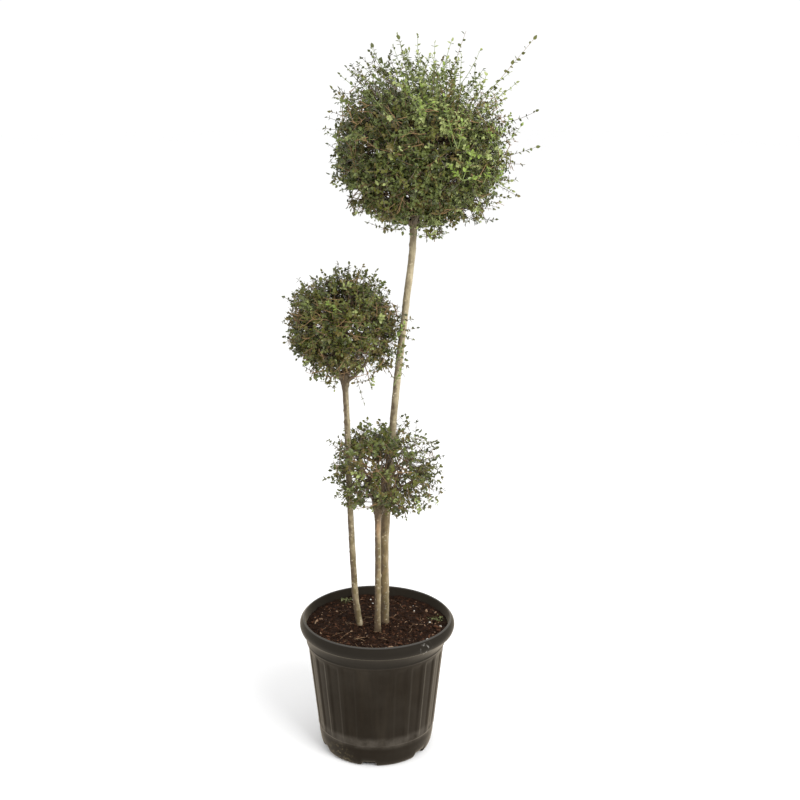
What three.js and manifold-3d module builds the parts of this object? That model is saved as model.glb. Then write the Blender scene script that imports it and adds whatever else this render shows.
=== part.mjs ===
// A privet trained as three clipped balls on three bare stems, in a black nursery pot.
// Millimetres, +Z up, +Y away from the viewer, origin at the centre of the pot's underside.
import * as THREE from "three";
import { mergeVertices } from "three/addons/utils/BufferGeometryUtils.js";
import Module from "manifold-3d";

const wasm = await Module();
wasm.setup();

const point = (x, y, z) => new THREE.Vector3(x, y, z);
const UP = point(0, 0, 1);
const GOLDEN_ANGLE = Math.PI * (3 - Math.sqrt(5));

// Clearances
const GAP = 0.3; // between pieces that touch
const LEAF_CLEARANCE = 1.5; // between a leaf or twig and a limb that isn't its own

// Pot
const POT_HEIGHT = 295.5;
const POT_SIDES = 48;
const POT_WALL = 2.5;
const POT_FLOOR = 3;
const LIP_RADIUS = 155.6;
const LIP_INSIDE = POT_HEIGHT - 1.5; // height of the lip's inner edge
const COLLAR_RADIUS = 165;
const COLLAR_FOOT = 270; // height of the collar's lower edge
const NECK_HEIGHT = 244; // the collar tucks in to the wall here
const NECK_RADIUS = 148.5;
const FLUTE_TOP = 235;
const FLUTE_TOP_RADIUS = 145.5;
const STEP_HEIGHT = 52; // the wall ends here, over an inset foot band
const STEP_RADIUS = 125.8;
const FOOT_BAND_RADIUS = 124;
const FOOT_RADIUS = 118.5;
const UNDERSIDE_RADIUS = 111.5;
const FOOT_ROUND = 8;
const FLUTE_DEPTH = 2;
const FLUTE_RUN = 7; // each flute fades out over this height
const NOTCH_COUNT = 6;
const NOTCH_WIDTH = 38;
const NOTCH_HEIGHT = 8;
const NOTCH_DEPTH = 14;
const NOTCH_TURN = -97; // degrees, first notch, a little left of the viewer's side

// Compost
const SOIL_HEIGHT = 279;
const SOIL_DIP = 2; // the compost falls by this much towards the wall
const SOIL_LEVEL_RADIUS = 105;
const SOIL_CHAMFER = 22; // leaves the drain notches open

// Stems: axis bends from the soil to the head, radii, and the swollen knuckle at the head
const STEM_SIDES = 8;
const STEM_STEPS = 15;
const FLARE_LENGTH = 14;
const STEM_FOOT = SOIL_HEIGHT + GAP;
const STEMS = {
  tall: {
    bends: [
      point(19.3, -6.7, STEM_FOOT),
      point(20.4, -1.5, 324),
      point(20.3, 12, 466.7),
      point(30, 21.5, 630),
      point(46, 19, 811),
      point(63.5, 15.5, 970),
      point(76, 13.5, 1076),
      point(79.5, 12, 1148),
    ],
    footRadius: 8.1,
    headRadius: 6.6,
    flare: 1.6,
    knuckle: 2,
    colour: 0x9a8765,
  },
  left: {
    bends: [
      point(-33.2, -21.8, STEM_FOOT),
      point(-41.8, -18, 340.5),
      point(-46, -14, 410),
      point(-51.8, -9, 544),
      point(-56, -4, 711),
      point(-60, -0.5, 812),
      point(-61, 0, 834),
    ],
    footRadius: 6.6,
    headRadius: 5.7,
    flare: 1.4,
    knuckle: 5,
    colour: 0x8f7c5c,
  },
  short: {
    bends: [
      point(4.3, -46.4, STEM_FOOT),
      point(5.7, -34, 408.5),
      point(5.8, -22, 517),
      point(6.6, -18, 556),
    ],
    footRadius: 6.4,
    headRadius: 6,
    flare: 1.2,
    knuckle: 4,
    colour: 0x8b7a5b,
  },
};
const KNUCKLE_DROP = 10; // the knuckle is widest this far under the stem's tip
const KNUCKLE_LENGTH = 20;
const STEM_RUNS = 60; // straight runs for the clearance tests

// Boughs: they leave the knuckle and end at the underside of the ball's core
const BOUGH_SIDES = 5;
const BOUGH_STEPS = 3;
const BOUGH_DROP = 15; // a bough leaves the stem this far under its tip
const BOUGH_STAGGER = 8; // every second bough leaves it lower by this much
const BOUGH_SPREAD = 52; // degrees from straight down, where a bough meets the core
const BOUGH_SINK = 4; // a bough's axis runs this far into the core, where it is cut clear
const BOUGH_BOW = 0.18; // of its run, outwards
const BOUGH_TAPER = 0.62; // its far radius, of its near one
const BOUGH_RUNS = 6; // straight runs for the clearance tests

// Balls: clipped outline, core, twigs and leaves
const LEAF_WIDTH = 0.56; // of a leaf's length
const LEAF_KEEL = 0.05; // the midrib lies this far under the stalk's line
const LEAF_WIDEST = 0.42; // the widest place, from the base
const LEAF_FOLD = 0.04; // the edges stand this far above it
const LEAF_SINK = 0.07; // the share of a tip leaf inside its twig
const LEAF_LEAN = THREE.MathUtils.degToRad(64); // between a leaf and its twig
const CORE_CLUMPS = 0.06;
const TWIG_STEPS = 2;
const TWIG_SAMPLES = 24;
const TWIG_TAPER = 0.25;
const TWIG_ROOT_LEAST = 0.6; // twigs leave the mass's stem between this share of its height and its end
const TWIG_LIFT = 0.05; // twigs bend upwards by this share of their run
const TWIG_SWAY = 0.06; // and to either side by up to this share
const TWIG_TURN = 0.3; // radians, uneven turn about the ball's axis
const FORK_PLACE = 0.62; // of a twig's run
const FORK_SPREAD = 0.55;
const MASS_STEM = 0.7; // of the radius of the stem that it carries on
const TIP_LEAST = 0.9; // a twig's last leaf ends between this and the whole reach
const BALLS = {
  top: {
    stem: "tall",
    seed: 11,
    centre: point(99, 10, 1288),
    half: point(176, 174, 164),
    squareness: 2.6,
    lumps: 0.04,
    coreShare: 0.65,
    coreDrop: 12,
    coreDetail: 3,
    boughs: 5,
    boughRadius: 3.8,
    twigs: 46,
    forks: 0.1,
    twigRadius: 2.2,
    leafLength: 37,
    leafStep: 32,
    colour: 0x4c5030,
    wild: [
      point(81, -12, 223),
      point(216, 30, 203),
      point(223, -30, -2),
      point(-51, -22, 207),
      point(-103, 18, 190),
      point(-184, -22, 112),
      point(-192, -12, -58),
      point(36, -52, -180),
      point(-30, 150, 150),
      point(90, 175, 30),
    ],
  },
  left: {
    stem: "left",
    seed: 23,
    centre: point(-62, -2, 930),
    half: point(118, 116, 119),
    squareness: 2.15,
    lumps: 0.05,
    coreShare: 0.64,
    coreDrop: 0,
    coreDetail: 2,
    boughs: 4,
    boughRadius: 3.6,
    twigs: 32,
    forks: 0.1,
    twigRadius: 2,
    leafLength: 30,
    leafStep: 24,
    colour: 0x4a4e2b,
    wild: [point(156, -30, 2), point(44, -52, -157), point(14, 10, 132), point(-121, -12, 6)],
  },
  small: {
    stem: "short",
    seed: 37,
    centre: point(18, -8, 630),
    half: point(115, 108, 98),
    squareness: 2.2,
    lumps: 0.07,
    coreShare: 0.46,
    coreDrop: 2,
    coreDetail: 2,
    boughs: 4,
    boughRadius: 3.2,
    twigs: 26,
    forks: 0.15,
    twigRadius: 1.8,
    leafLength: 28,
    leafStep: 24,
    colour: 0x5a5d38,
    wild: [point(-118, -20, 12), point(120, -20, -6), point(10, -25, 99), point(26, -40, -99)],
  },
};

// Numbers between 0 and 1 that follow from a seed
function seededRandom(seed) {
  let state = seed;
  return () => {
    state = (state * 1664525 + 1013904223) % 4294967296;
    return state / 4294967296;
  };
}

// A closed geometry as a solid, its shared points merged and empty triangles dropped
function solidOf(geometry) {
  const bare = geometry.clone();
  bare.deleteAttribute("normal");
  bare.deleteAttribute("uv");
  const merged = mergeVertices(bare, 1e-4);
  const corners = merged.index.array;
  const kept = [];
  for (let i = 0; i < corners.length; i += 3) {
    const [a, b, c] = corners.subarray(i, i + 3);
    if (a !== b && b !== c && c !== a) kept.push(a, b, c);
  }
  const vertProperties = merged.attributes.position.array;
  const triVerts = new Uint32Array(kept);
  return new wasm.Manifold(new wasm.Mesh({ numProp: 3, vertProperties, triVerts }));
}

// The outer skin of a solid's largest body: scraps and sealed hollows are left behind
function largestBody(solid) {
  const bodies = solid.decompose();
  return bodies.reduce((best, body) => (body.volume() > best.volume() ? body : best));
}

function geometryOf(solid) {
  const mesh = solid.getMesh();
  const geometry = new THREE.BufferGeometry();
  geometry.setAttribute("position", new THREE.BufferAttribute(mesh.vertProperties, 3));
  geometry.setIndex(new THREE.BufferAttribute(mesh.triVerts, 1));
  geometry.computeVertexNormals();
  return geometry;
}

function piece(name, solid, colour, roughness) {
  const material = new THREE.MeshStandardMaterial({ color: colour, roughness, metalness: 0 });
  const mesh = new THREE.Mesh(geometryOf(solid), material);
  mesh.name = name;
  return mesh;
}

// A round limb: a closed cylinder carried along a curve, with level or square-cut rings
function limbSolid(curve, radiusAt, sides, steps, level = false) {
  const geometry = new THREE.CylinderGeometry(1, 1, 1, sides, steps);
  const frames = curve.computeFrenetFrames(steps);
  const places = geometry.attributes.position;
  for (let i = 0; i < places.count; i += 1) {
    const along = places.getY(i) + 0.5;
    const ring = Math.round(along * steps);
    const across = level ? point(1, 0, 0) : frames.binormals[ring];
    const other = level ? point(0, -1, 0) : frames.normals[ring];
    const radius = radiusAt(along);
    const place = curve.getPointAt(along);
    place.addScaledVector(across, places.getX(i) * radius);
    place.addScaledVector(other, places.getZ(i) * radius);
    places.setXYZ(i, place.x, place.y, place.z);
  }
  return solidOf(geometry);
}

// The straight lines that join the centres of a limb's rings, as one function
function ringCentres(curve, steps) {
  const centres = Array.from({ length: steps + 1 }, (_, i) => curve.getPointAt(i / steps));
  return (along) => {
    const ring = Math.min(Math.floor(along * steps), steps - 1);
    return centres[ring].clone().lerp(centres[ring + 1], along * steps - ring);
  };
}

// The wall's outside radius between the step and the top of the flutes
function wallRadius(height) {
  return THREE.MathUtils.mapLinear(height, STEP_HEIGHT, FLUTE_TOP, STEP_RADIUS, FLUTE_TOP_RADIUS);
}

// The wall's inside radius under the neck, a wall's thickness clear of the pressed flutes
function insideRadius(height) {
  return THREE.MathUtils.mapLinear(
    height,
    POT_FLOOR + FOOT_ROUND,
    FLUTE_TOP,
    FOOT_RADIUS - POT_WALL,
    FLUTE_TOP_RADIUS - FLUTE_DEPTH - POT_WALL,
  );
}

// The collar's inside radius over the neck
function collarInside(height) {
  const lip = LIP_RADIUS - POT_WALL;
  return THREE.MathUtils.mapLinear(height, NECK_HEIGHT, LIP_INSIDE, NECK_RADIUS - POT_WALL, lip);
}

// Pot: a turned profile with pressed flutes, and drain notches in the edge of its underside
function potSolid() {
  const profile = new THREE.Path();
  profile.moveTo(0, 0);
  profile.lineTo(UNDERSIDE_RADIUS, 0);
  profile.lineTo(FOOT_RADIUS, FOOT_ROUND);
  profile.lineTo(FOOT_BAND_RADIUS, STEP_HEIGHT - 3);
  profile.lineTo(STEP_RADIUS, STEP_HEIGHT);
  profile.lineTo(wallRadius(STEP_HEIGHT + FLUTE_RUN), STEP_HEIGHT + FLUTE_RUN);
  profile.lineTo(wallRadius(FLUTE_TOP - FLUTE_RUN), FLUTE_TOP - FLUTE_RUN);
  profile.lineTo(FLUTE_TOP_RADIUS, FLUTE_TOP);
  profile.lineTo(NECK_RADIUS, NECK_HEIGHT);
  profile.quadraticCurveTo(NECK_RADIUS + 3, NECK_HEIGHT + 14, COLLAR_RADIUS - 4.5, COLLAR_FOOT);
  profile.quadraticCurveTo(COLLAR_RADIUS + 4, COLLAR_FOOT + 15, LIP_RADIUS, POT_HEIGHT);
  profile.lineTo(LIP_RADIUS - POT_WALL, LIP_INSIDE);
  profile.lineTo(collarInside(NECK_HEIGHT), NECK_HEIGHT);
  profile.lineTo(insideRadius(FLUTE_TOP), FLUTE_TOP);
  profile.lineTo(insideRadius(POT_FLOOR + FOOT_ROUND), POT_FLOOR + FOOT_ROUND);
  profile.lineTo(UNDERSIDE_RADIUS - POT_WALL, POT_FLOOR);
  profile.lineTo(0, POT_FLOOR);
  const turned = new THREE.LatheGeometry(profile.getPoints(3), POT_SIDES);
  turned.rotateX(Math.PI / 2);
  pressFlutes(turned);
  return drainNotches().reduce((pot, notch) => pot.subtract(notch), solidOf(turned));
}

// Every second column of the outside wall is pressed in between the step and the neck
function pressFlutes(turned) {
  const places = turned.attributes.position;
  for (let i = 0; i < places.count; i += 1) {
    const height = places.getZ(i);
    const radius = Math.hypot(places.getX(i), places.getY(i));
    const fluted = height > STEP_HEIGHT + 1 && height < FLUTE_TOP - 1;
    const outside = radius > wallRadius(height) - 1;
    const turn = Math.atan2(places.getY(i), places.getX(i)) / (2 * Math.PI);
    const column = Math.round(turn * POT_SIDES);
    if (fluted && outside && column % 2 !== 0) {
      const pressed = (radius - FLUTE_DEPTH) / radius;
      places.setXYZ(i, places.getX(i) * pressed, places.getY(i) * pressed, height);
    }
  }
}

function drainNotches() {
  return Array.from({ length: NOTCH_COUNT }, (_, i) => {
    const turn = THREE.MathUtils.degToRad(NOTCH_TURN + (360 / NOTCH_COUNT) * i);
    const notch = new THREE.BoxGeometry(2 * NOTCH_DEPTH, NOTCH_WIDTH, 2 * NOTCH_HEIGHT);
    notch.translate(FOOT_RADIUS, 0, 0);
    notch.rotateZ(turn);
    return solidOf(notch);
  });
}

// Compost: fills the pot to just under its lip, level round the stems
function compostSolid() {
  const foot = POT_FLOOR + GAP;
  const wallAt = (height) => insideRadius(height) - GAP;
  const edge = SOIL_HEIGHT - SOIL_DIP;
  const profile = [
    new THREE.Vector2(0, foot),
    new THREE.Vector2(wallAt(SOIL_CHAMFER) - SOIL_CHAMFER, foot),
    new THREE.Vector2(wallAt(SOIL_CHAMFER), SOIL_CHAMFER),
    new THREE.Vector2(wallAt(FLUTE_TOP), FLUTE_TOP),
    new THREE.Vector2(collarInside(NECK_HEIGHT) - GAP, NECK_HEIGHT),
    new THREE.Vector2(collarInside(edge) - GAP, edge),
    new THREE.Vector2(SOIL_LEVEL_RADIUS, SOIL_HEIGHT),
    new THREE.Vector2(0, SOIL_HEIGHT),
  ];
  const filling = new THREE.LatheGeometry(profile, POT_SIDES / 2);
  filling.rotateX(Math.PI / 2);
  return solidOf(filling);
}

// A stem's axis and its radius along it: taper, root flare and the knuckle at the head
function stemForm({ bends, footRadius, headRadius, flare, knuckle }) {
  const curve = new THREE.CatmullRomCurve3(bends, false, "centripetal");
  const length = curve.getLength();
  const radiusAt = (along) => {
    const fromFoot = along * length;
    const fromKnuckle = (length - KNUCKLE_DROP - fromFoot) / KNUCKLE_LENGTH;
    return (
      THREE.MathUtils.lerp(footRadius, headRadius, along) +
      flare * Math.exp(-fromFoot / FLARE_LENGTH) +
      knuckle * Math.exp(-fromKnuckle * fromKnuckle)
    );
  };
  return { curve, radiusAt, length };
}

// A stem with level rings, so that its foot and its tip are flat cuts
function stemSolid(form, swell = 0) {
  const radiusAt = (along) => form.radiusAt(along) + swell;
  return limbSolid(form.curve, radiusAt, STEM_SIDES, STEM_STEPS, true);
}

// Straight runs of a limb with their radii, for the clearance tests
function limbRuns(curve, radiusAt, count) {
  return Array.from({ length: count }, (_, i) => {
    const line = new THREE.Line3(curve.getPointAt(i / count), curve.getPointAt((i + 1) / count));
    return { line, radius: Math.max(radiusAt(i / count), radiusAt((i + 1) / count)) };
  });
}

function clearOf(runs, place, clearance) {
  const nearest = point(0, 0, 0);
  return runs.every(({ line, radius }) => {
    line.closestPointToPoint(place, true, nearest);
    return nearest.distanceTo(place) > radius + clearance;
  });
}

// Distance from a ball's centre to its clipped outline: a rounded box with low swells
function reach(ball, way) {
  const { half, squareness, lumps, seed } = ball;
  const across = (Math.abs(way.x) / half.x) ** squareness;
  const deep = (Math.abs(way.y) / half.y) ** squareness;
  const high = (Math.abs(way.z) / half.z) ** squareness;
  const swell = Math.sin(5 * way.x + seed) + Math.sin(6 * way.y + 2 * seed) + Math.sin(7 * way.z + 3 * seed);
  return (across + deep + high) ** (-1 / squareness) * (1 + (lumps * swell) / 3);
}

// The core follows the outline at a smaller size, with clumps
function coreReach(ball, way) {
  const { coreShare, seed } = ball;
  const clump = Math.sin(11 * way.x + seed) * Math.sin(13 * way.y - seed) + Math.sin(12 * way.z + 2 * seed);
  return coreShare * reach(ball, way) * (1 + CORE_CLUMPS * clump);
}

function coreCentre(ball) {
  return ball.centre.clone().addScaledVector(UP, -ball.coreDrop);
}

// The dense inside of a ball, which the outer twigs and leaves stand out of
function coreSolid(ball, swell = 0) {
  const geometry = new THREE.IcosahedronGeometry(1, ball.coreDetail);
  const places = geometry.attributes.position;
  const centre = coreCentre(ball);
  const way = point(0, 0, 0);
  for (let i = 0; i < places.count; i += 1) {
    way.fromBufferAttribute(places, i).normalize();
    const place = centre.clone().addScaledVector(way, coreReach(ball, way) + swell);
    places.setXYZ(i, place.x, place.y, place.z);
  }
  return solidOf(geometry);
}

// One bough: out of the side of the knuckle, up to the core's underside
function boughForm(ball, form, order) {
  const turn = (2 * Math.PI * order) / ball.boughs + ball.seed;
  const out = point(Math.cos(turn), Math.sin(turn), 0);
  const spread = THREE.MathUtils.degToRad(BOUGH_SPREAD);
  const way = out.clone().multiplyScalar(Math.sin(spread)).addScaledVector(UP, -Math.cos(spread));
  const along = 1 - (BOUGH_DROP + BOUGH_STAGGER * (order % 2)) / form.length;
  const start = form.curve.getPointAt(along);
  const end = coreCentre(ball).addScaledVector(way, coreReach(ball, way) - BOUGH_SINK);
  const knee = start.clone().lerp(end, 0.5);
  knee.addScaledVector(out, BOUGH_BOW * start.distanceTo(end));
  const curve = new THREE.QuadraticBezierCurve3(start, knee, end);
  const radiusAt = (share) => ball.boughRadius * THREE.MathUtils.lerp(1, BOUGH_TAPER, share);
  return { curve, radiusAt };
}

function boughSolid(ball, form, bough) {
  const limb = limbSolid(bough.curve, bough.radiusAt, BOUGH_SIDES, BOUGH_STEPS);
  return largestBody(limb.subtract(stemSolid(form, GAP)).subtract(coreSolid(ball, GAP)));
}

// A leaf as a keeled kite: base at the origin, tip along +X, upper face to +Z.
// It is the coarsest sphere, two poles and three points between them, drawn out to a blade.
function leafGeometry(length) {
  const geometry = new THREE.SphereGeometry(1, 3, 2);
  const places = geometry.attributes.position;
  for (let i = 0; i < places.count; i += 1) {
    const pole = Math.round(places.getY(i));
    const edge = pole === 0 ? Math.sign(Math.round(2 * places.getZ(i))) : 0;
    const along = pole === 0 ? LEAF_WIDEST : (pole + 1) / 2;
    const blade = edge === 0 ? -LEAF_KEEL : LEAF_FOLD;
    const lift = pole === 0 ? blade : 0;
    places.setXYZ(i, along * length, (edge * LEAF_WIDTH * length) / 2, lift * length);
  }
  return geometry;
}

// A leaf set at a place on a twig, pointing one way with its upper face towards the twig's tip
function leafFrame(place, way, tipward) {
  const face = tipward.clone().addScaledVector(way, -tipward.dot(way)).normalize();
  const side = face.clone().cross(way);
  return new THREE.Matrix4().makeBasis(way, side, face).setPosition(place);
}

// A mass's growing rule: its stem enters the core, twigs branch from it in all directions, some fork,
// and each bears opposite pairs of leaves, turned a quarter from pair to pair, and a leaf at its tip
function growBall(ball, form, runs) {
  const random = seededRandom(ball.seed);
  const either = () => 2 * random() - 1;
  const leaf = leafGeometry(ball.leafLength);
  const halfWidth = (LEAF_WIDTH * ball.leafLength) / 2;
  const shownLeaf = (1 - LEAF_SINK) * ball.leafLength;
  const centre = coreCentre(ball);
  const head = form.curve.getPointAt(1).addScaledVector(UP, GAP);
  const stemCurve = new THREE.LineCurve3(head, centre);
  const stemRadius = MASS_STEM * form.radiusAt(1);
  const parts = [limbSolid(stemCurve, () => stemRadius, STEM_SIDES, 1, true), coreSolid(ball)];

  const outsideCore = (place) => {
    const away = place.clone().sub(centre);
    return away.length() > coreReach(ball, away.clone().normalize());
  };
  const withinBall = (place) => {
    const away = place.clone().sub(ball.centre);
    return away.length() < 1.02 * reach(ball, away.clone().normalize());
  };

  const addLeaf = (place, way, tipward, bounded) => {
    const frame = leafFrame(place, way, tipward);
    const spotAt = (share) => place.clone().addScaledVector(way, share * ball.leafLength);
    const midrib = [0.2, 0.4, 0.7, 1].map(spotAt);
    const clear = midrib.every((spot) => clearOf(runs, spot, LEAF_CLEARANCE + halfWidth));
    if (clear && (!bounded || withinBall(midrib.at(-1)))) {
      parts.push(solidOf(leaf.clone().applyMatrix4(frame)));
    }
  };

  const addTwig = (curve, bounded) => {
    const samples = curve.getSpacedPoints(TWIG_SAMPLES);
    const shown = samples.filter(outsideCore);
    if (!shown.every((place) => clearOf(runs, place, LEAF_CLEARANCE + ball.twigRadius))) return false;
    const radiusAt = (along) => ball.twigRadius * (1 - TWIG_TAPER * along);
    parts.push(limbSolid(curve, radiusAt, 3, TWIG_STEPS));
    const length = curve.getLength();
    const axis = ringCentres(curve, TWIG_STEPS);
    const turn = 2 * Math.PI * random();
    const shownShare = shown.length / samples.length;
    const pairs = Math.max(1, Math.floor((shownShare * length) / ball.leafStep));
    for (let pair = 0; pair < pairs; pair += 1) {
      const along = 1 - (shownShare * (pair + 0.55)) / pairs;
      const place = axis(along);
      const tipward = curve.getTangentAt(along);
      const side = point(tipward.y, -tipward.x, 0.01).normalize();
      side.applyAxisAngle(tipward, turn + (pair * Math.PI) / 2);
      for (const hand of [1, -1]) {
        const way = tipward.clone().multiplyScalar(Math.cos(LEAF_LEAN));
        way.addScaledVector(side, hand * Math.sin(LEAF_LEAN)).normalize();
        addLeaf(place, way, tipward, bounded);
      }
    }
    const last = curve.getTangentAt(1);
    const sunk = axis(1 - (LEAF_SINK * ball.leafLength) / length);
    const face = UP.clone().addScaledVector(last, 0.2 - last.z);
    addLeaf(sunk, last, face.lengthSq() > 0.01 ? face : point(1, 0, 0), false);
    return true;
  };

  // Where a twig that grows in a direction ends, so that its last leaf meets the outline
  const tipFor = (way) => {
    const share = THREE.MathUtils.lerp(TIP_LEAST, 1, random());
    return ball.centre.clone().addScaledVector(way, share * reach(ball, way) - shownLeaf);
  };

  const twigTo = (root, tip, bounded) => {
    const knee = root.clone().lerp(tip, 0.5);
    const run = root.distanceTo(tip);
    knee.add(point(either(), either(), either()).multiplyScalar(TWIG_SWAY * run));
    knee.addScaledVector(UP, -TWIG_LIFT * run);
    const curve = new THREE.QuadraticBezierCurve3(root, knee, tip);
    return addTwig(curve, bounded) ? curve : null;
  };

  const rootOnStem = () => stemCurve.getPointAt(THREE.MathUtils.lerp(TWIG_ROOT_LEAST, 1, random()));

  for (let i = 0; i < ball.twigs; i += 1) {
    const height = 1 - (2 * i + 1) / ball.twigs;
    const flat = Math.sqrt(1 - height * height);
    const turn = i * GOLDEN_ANGLE + TWIG_TURN * either();
    const way = point(flat * Math.cos(turn), flat * Math.sin(turn), height);
    const curve = twigTo(rootOnStem(), tipFor(way), true);
    if (curve && random() < ball.forks) {
      const fork = curve.getPointAt(FORK_PLACE);
      const swerve = point(either(), either(), either()).multiplyScalar(FORK_SPREAD);
      const aside = way.clone().add(swerve).normalize();
      twigTo(fork, tipFor(aside), true);
    }
  }
  for (const offset of ball.wild) {
    const way = offset.clone().normalize();
    const shortened = offset.clone().addScaledVector(way, -shownLeaf);
    twigTo(rootOnStem(), ball.centre.clone().add(shortened), false);
  }
  return wasm.Manifold.union(parts);
}

const topiary = new THREE.Group();
topiary.name = "potted_privet_topiary";
topiary.add(piece("pot", potSolid(), 0x2f2a26, 0.55));
topiary.add(piece("compost", compostSolid(), 0x3b2a20, 0.95));

const forms = {};
for (const [name, stem] of Object.entries(STEMS)) {
  forms[name] = stemForm(stem);
  topiary.add(piece(`${name}_stem`, stemSolid(forms[name]), stem.colour, 0.8));
}
const stemRuns = Object.values(forms).flatMap(({ curve, radiusAt }) => limbRuns(curve, radiusAt, STEM_RUNS));

for (const [name, ball] of Object.entries(BALLS)) {
  const form = forms[ball.stem];
  const boughs = Array.from({ length: ball.boughs }, (_, order) => boughForm(ball, form, order));
  boughs.forEach((bough, order) => {
    const limb = boughSolid(ball, form, bough);
    topiary.add(piece(`${name}_bough_${order + 1}`, limb, STEMS[ball.stem].colour, 0.8));
  });
  const boughRuns = boughs.flatMap(({ curve, radiusAt }) => limbRuns(curve, radiusAt, BOUGH_RUNS));
  const grown = growBall(ball, form, [...stemRuns, ...boughRuns]);
  const passing = Object.keys(forms).filter((other) => other !== ball.stem);
  const cleared = passing.reduce((mass, other) => mass.subtract(stemSolid(forms[other], 2 * GAP)), grown);
  topiary.add(piece(`${name}_ball_foliage`, largestBody(cleared), ball.colour, 0.6));
}

export default topiary;
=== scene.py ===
"""A privet trained as three clipped balls on bare stems, in a black nursery pot of bark compost.

The packed solids are the frame. Each ball is grown again here by the solids' own rule, carried on to
finer twigs and to leaves of about life size. Metres, +Z up, +X right and +Y away from the viewer, with
the origin at the centre of the pot's underside.
"""
import math

import bpy
import numpy as np
from bpy.props import EnumProperty, FloatProperty, FloatVectorProperty, IntProperty, PointerProperty
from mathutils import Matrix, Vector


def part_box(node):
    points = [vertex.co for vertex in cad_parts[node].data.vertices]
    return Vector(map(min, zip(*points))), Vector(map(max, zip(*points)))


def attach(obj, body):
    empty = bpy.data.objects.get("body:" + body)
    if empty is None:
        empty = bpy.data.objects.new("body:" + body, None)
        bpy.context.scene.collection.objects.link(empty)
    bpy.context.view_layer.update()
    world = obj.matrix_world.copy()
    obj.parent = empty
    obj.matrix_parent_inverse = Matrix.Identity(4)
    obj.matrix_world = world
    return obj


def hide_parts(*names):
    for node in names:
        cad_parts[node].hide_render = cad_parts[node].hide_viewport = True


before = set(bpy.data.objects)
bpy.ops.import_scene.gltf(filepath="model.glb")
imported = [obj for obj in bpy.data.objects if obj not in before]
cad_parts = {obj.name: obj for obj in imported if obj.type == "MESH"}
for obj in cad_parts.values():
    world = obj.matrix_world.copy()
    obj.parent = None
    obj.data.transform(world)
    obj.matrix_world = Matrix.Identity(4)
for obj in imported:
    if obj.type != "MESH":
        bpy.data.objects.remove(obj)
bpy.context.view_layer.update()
POT_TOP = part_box("pot")[1].z
SOIL_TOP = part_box("compost")[1].z

bl_info = {
    "name": "Potted privet triple ball topiary",
    "version": (1, 0, 0),
    "blender": (4, 5, 0),
    "location": "View3D > Sidebar > Topiary",
    "description": "Grows a privet with three clipped balls in its pot, and sets a plain studio round it",
    "category": "Add Mesh",
}

BODY = "root"
GOLDEN_ANGLE = math.pi * (3 - math.sqrt(5))
FULL_TURN = 2 * math.pi
UP = np.array([0.0, 0.0, 1.0])

# Pot: the lines of its moulding, besides the sizes in its settings
POT_COLUMNS = 384
COLLAR_FOOT = 0.270
NECK_HEIGHT = 0.244
FLUTE_TOP = 0.235
FLUTE_TOP_RADIUS = 0.1455
STEP_HEIGHT = 0.052
FOOT_BAND_RADIUS = 0.1240
UNDERSIDE_RADIUS = 0.1115
POT_WALL = 0.0025
POT_FLOOR = 0.003
FLUTE_RUN = 0.007
NOTCH_COUNT = 6
NOTCH_WIDTH = 0.038
NOTCH_HEIGHT = 0.008
NOTCH_BACK = 0.1045
NOTCH_TURN = math.radians(-97)
NOTCH_FADE = 0.024
NOTCH_SIDE = 0.006
CREASE_ANGLE = math.radians(50)
COLLAR_BULGE = 0.002
COLLAR_PUSH = 0.015

# Compost: its grid, the wall that it fills, its lumps as (rise, seed, wave), and what lies on it
COMPOST_COLUMNS = 240
COMPOST_ROWS = 84
COMPOST_WALL = (
    (0.1490, 0.271), (0.1450, 0.248), (0.1395, FLUTE_TOP), (0.114, 0.022), (0.092, 0.0036), (0.003, 0.0036),
)
COMPOST_LUMPS = ((0.0016, 5, 0.034), (0.0010, 6, 0.012), (0.0006, 7, 0.006))
COMPOST_SETTLED = 0.001
MOUND_WIDTH = 0.016
MOSS_PLACES = ((-0.068, 0.118), (0.1325, 0.020))
MOSS_SPREAD = 0.0075
MOSS_WIDTH = 1.15
CHIP_PROFILE = np.array((0.45, 1.0, 0.9, 0.35))
GRIT_PROFILE = np.array((0.5, 1.0, 0.95, 0.45))
FIBRE_PROFILE = np.array((0.7, 1, 1, 1, 1, 1, 0.5))
CHIP_ODDS = (0.72, 0.24, 0.04)
FOOT_CHIPS = 18
FOOT_CHIP_SEED = 72
COMPOST_SEED = 71
FOOT_CHIP_ODDS = (0.75, 0.25)

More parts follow.
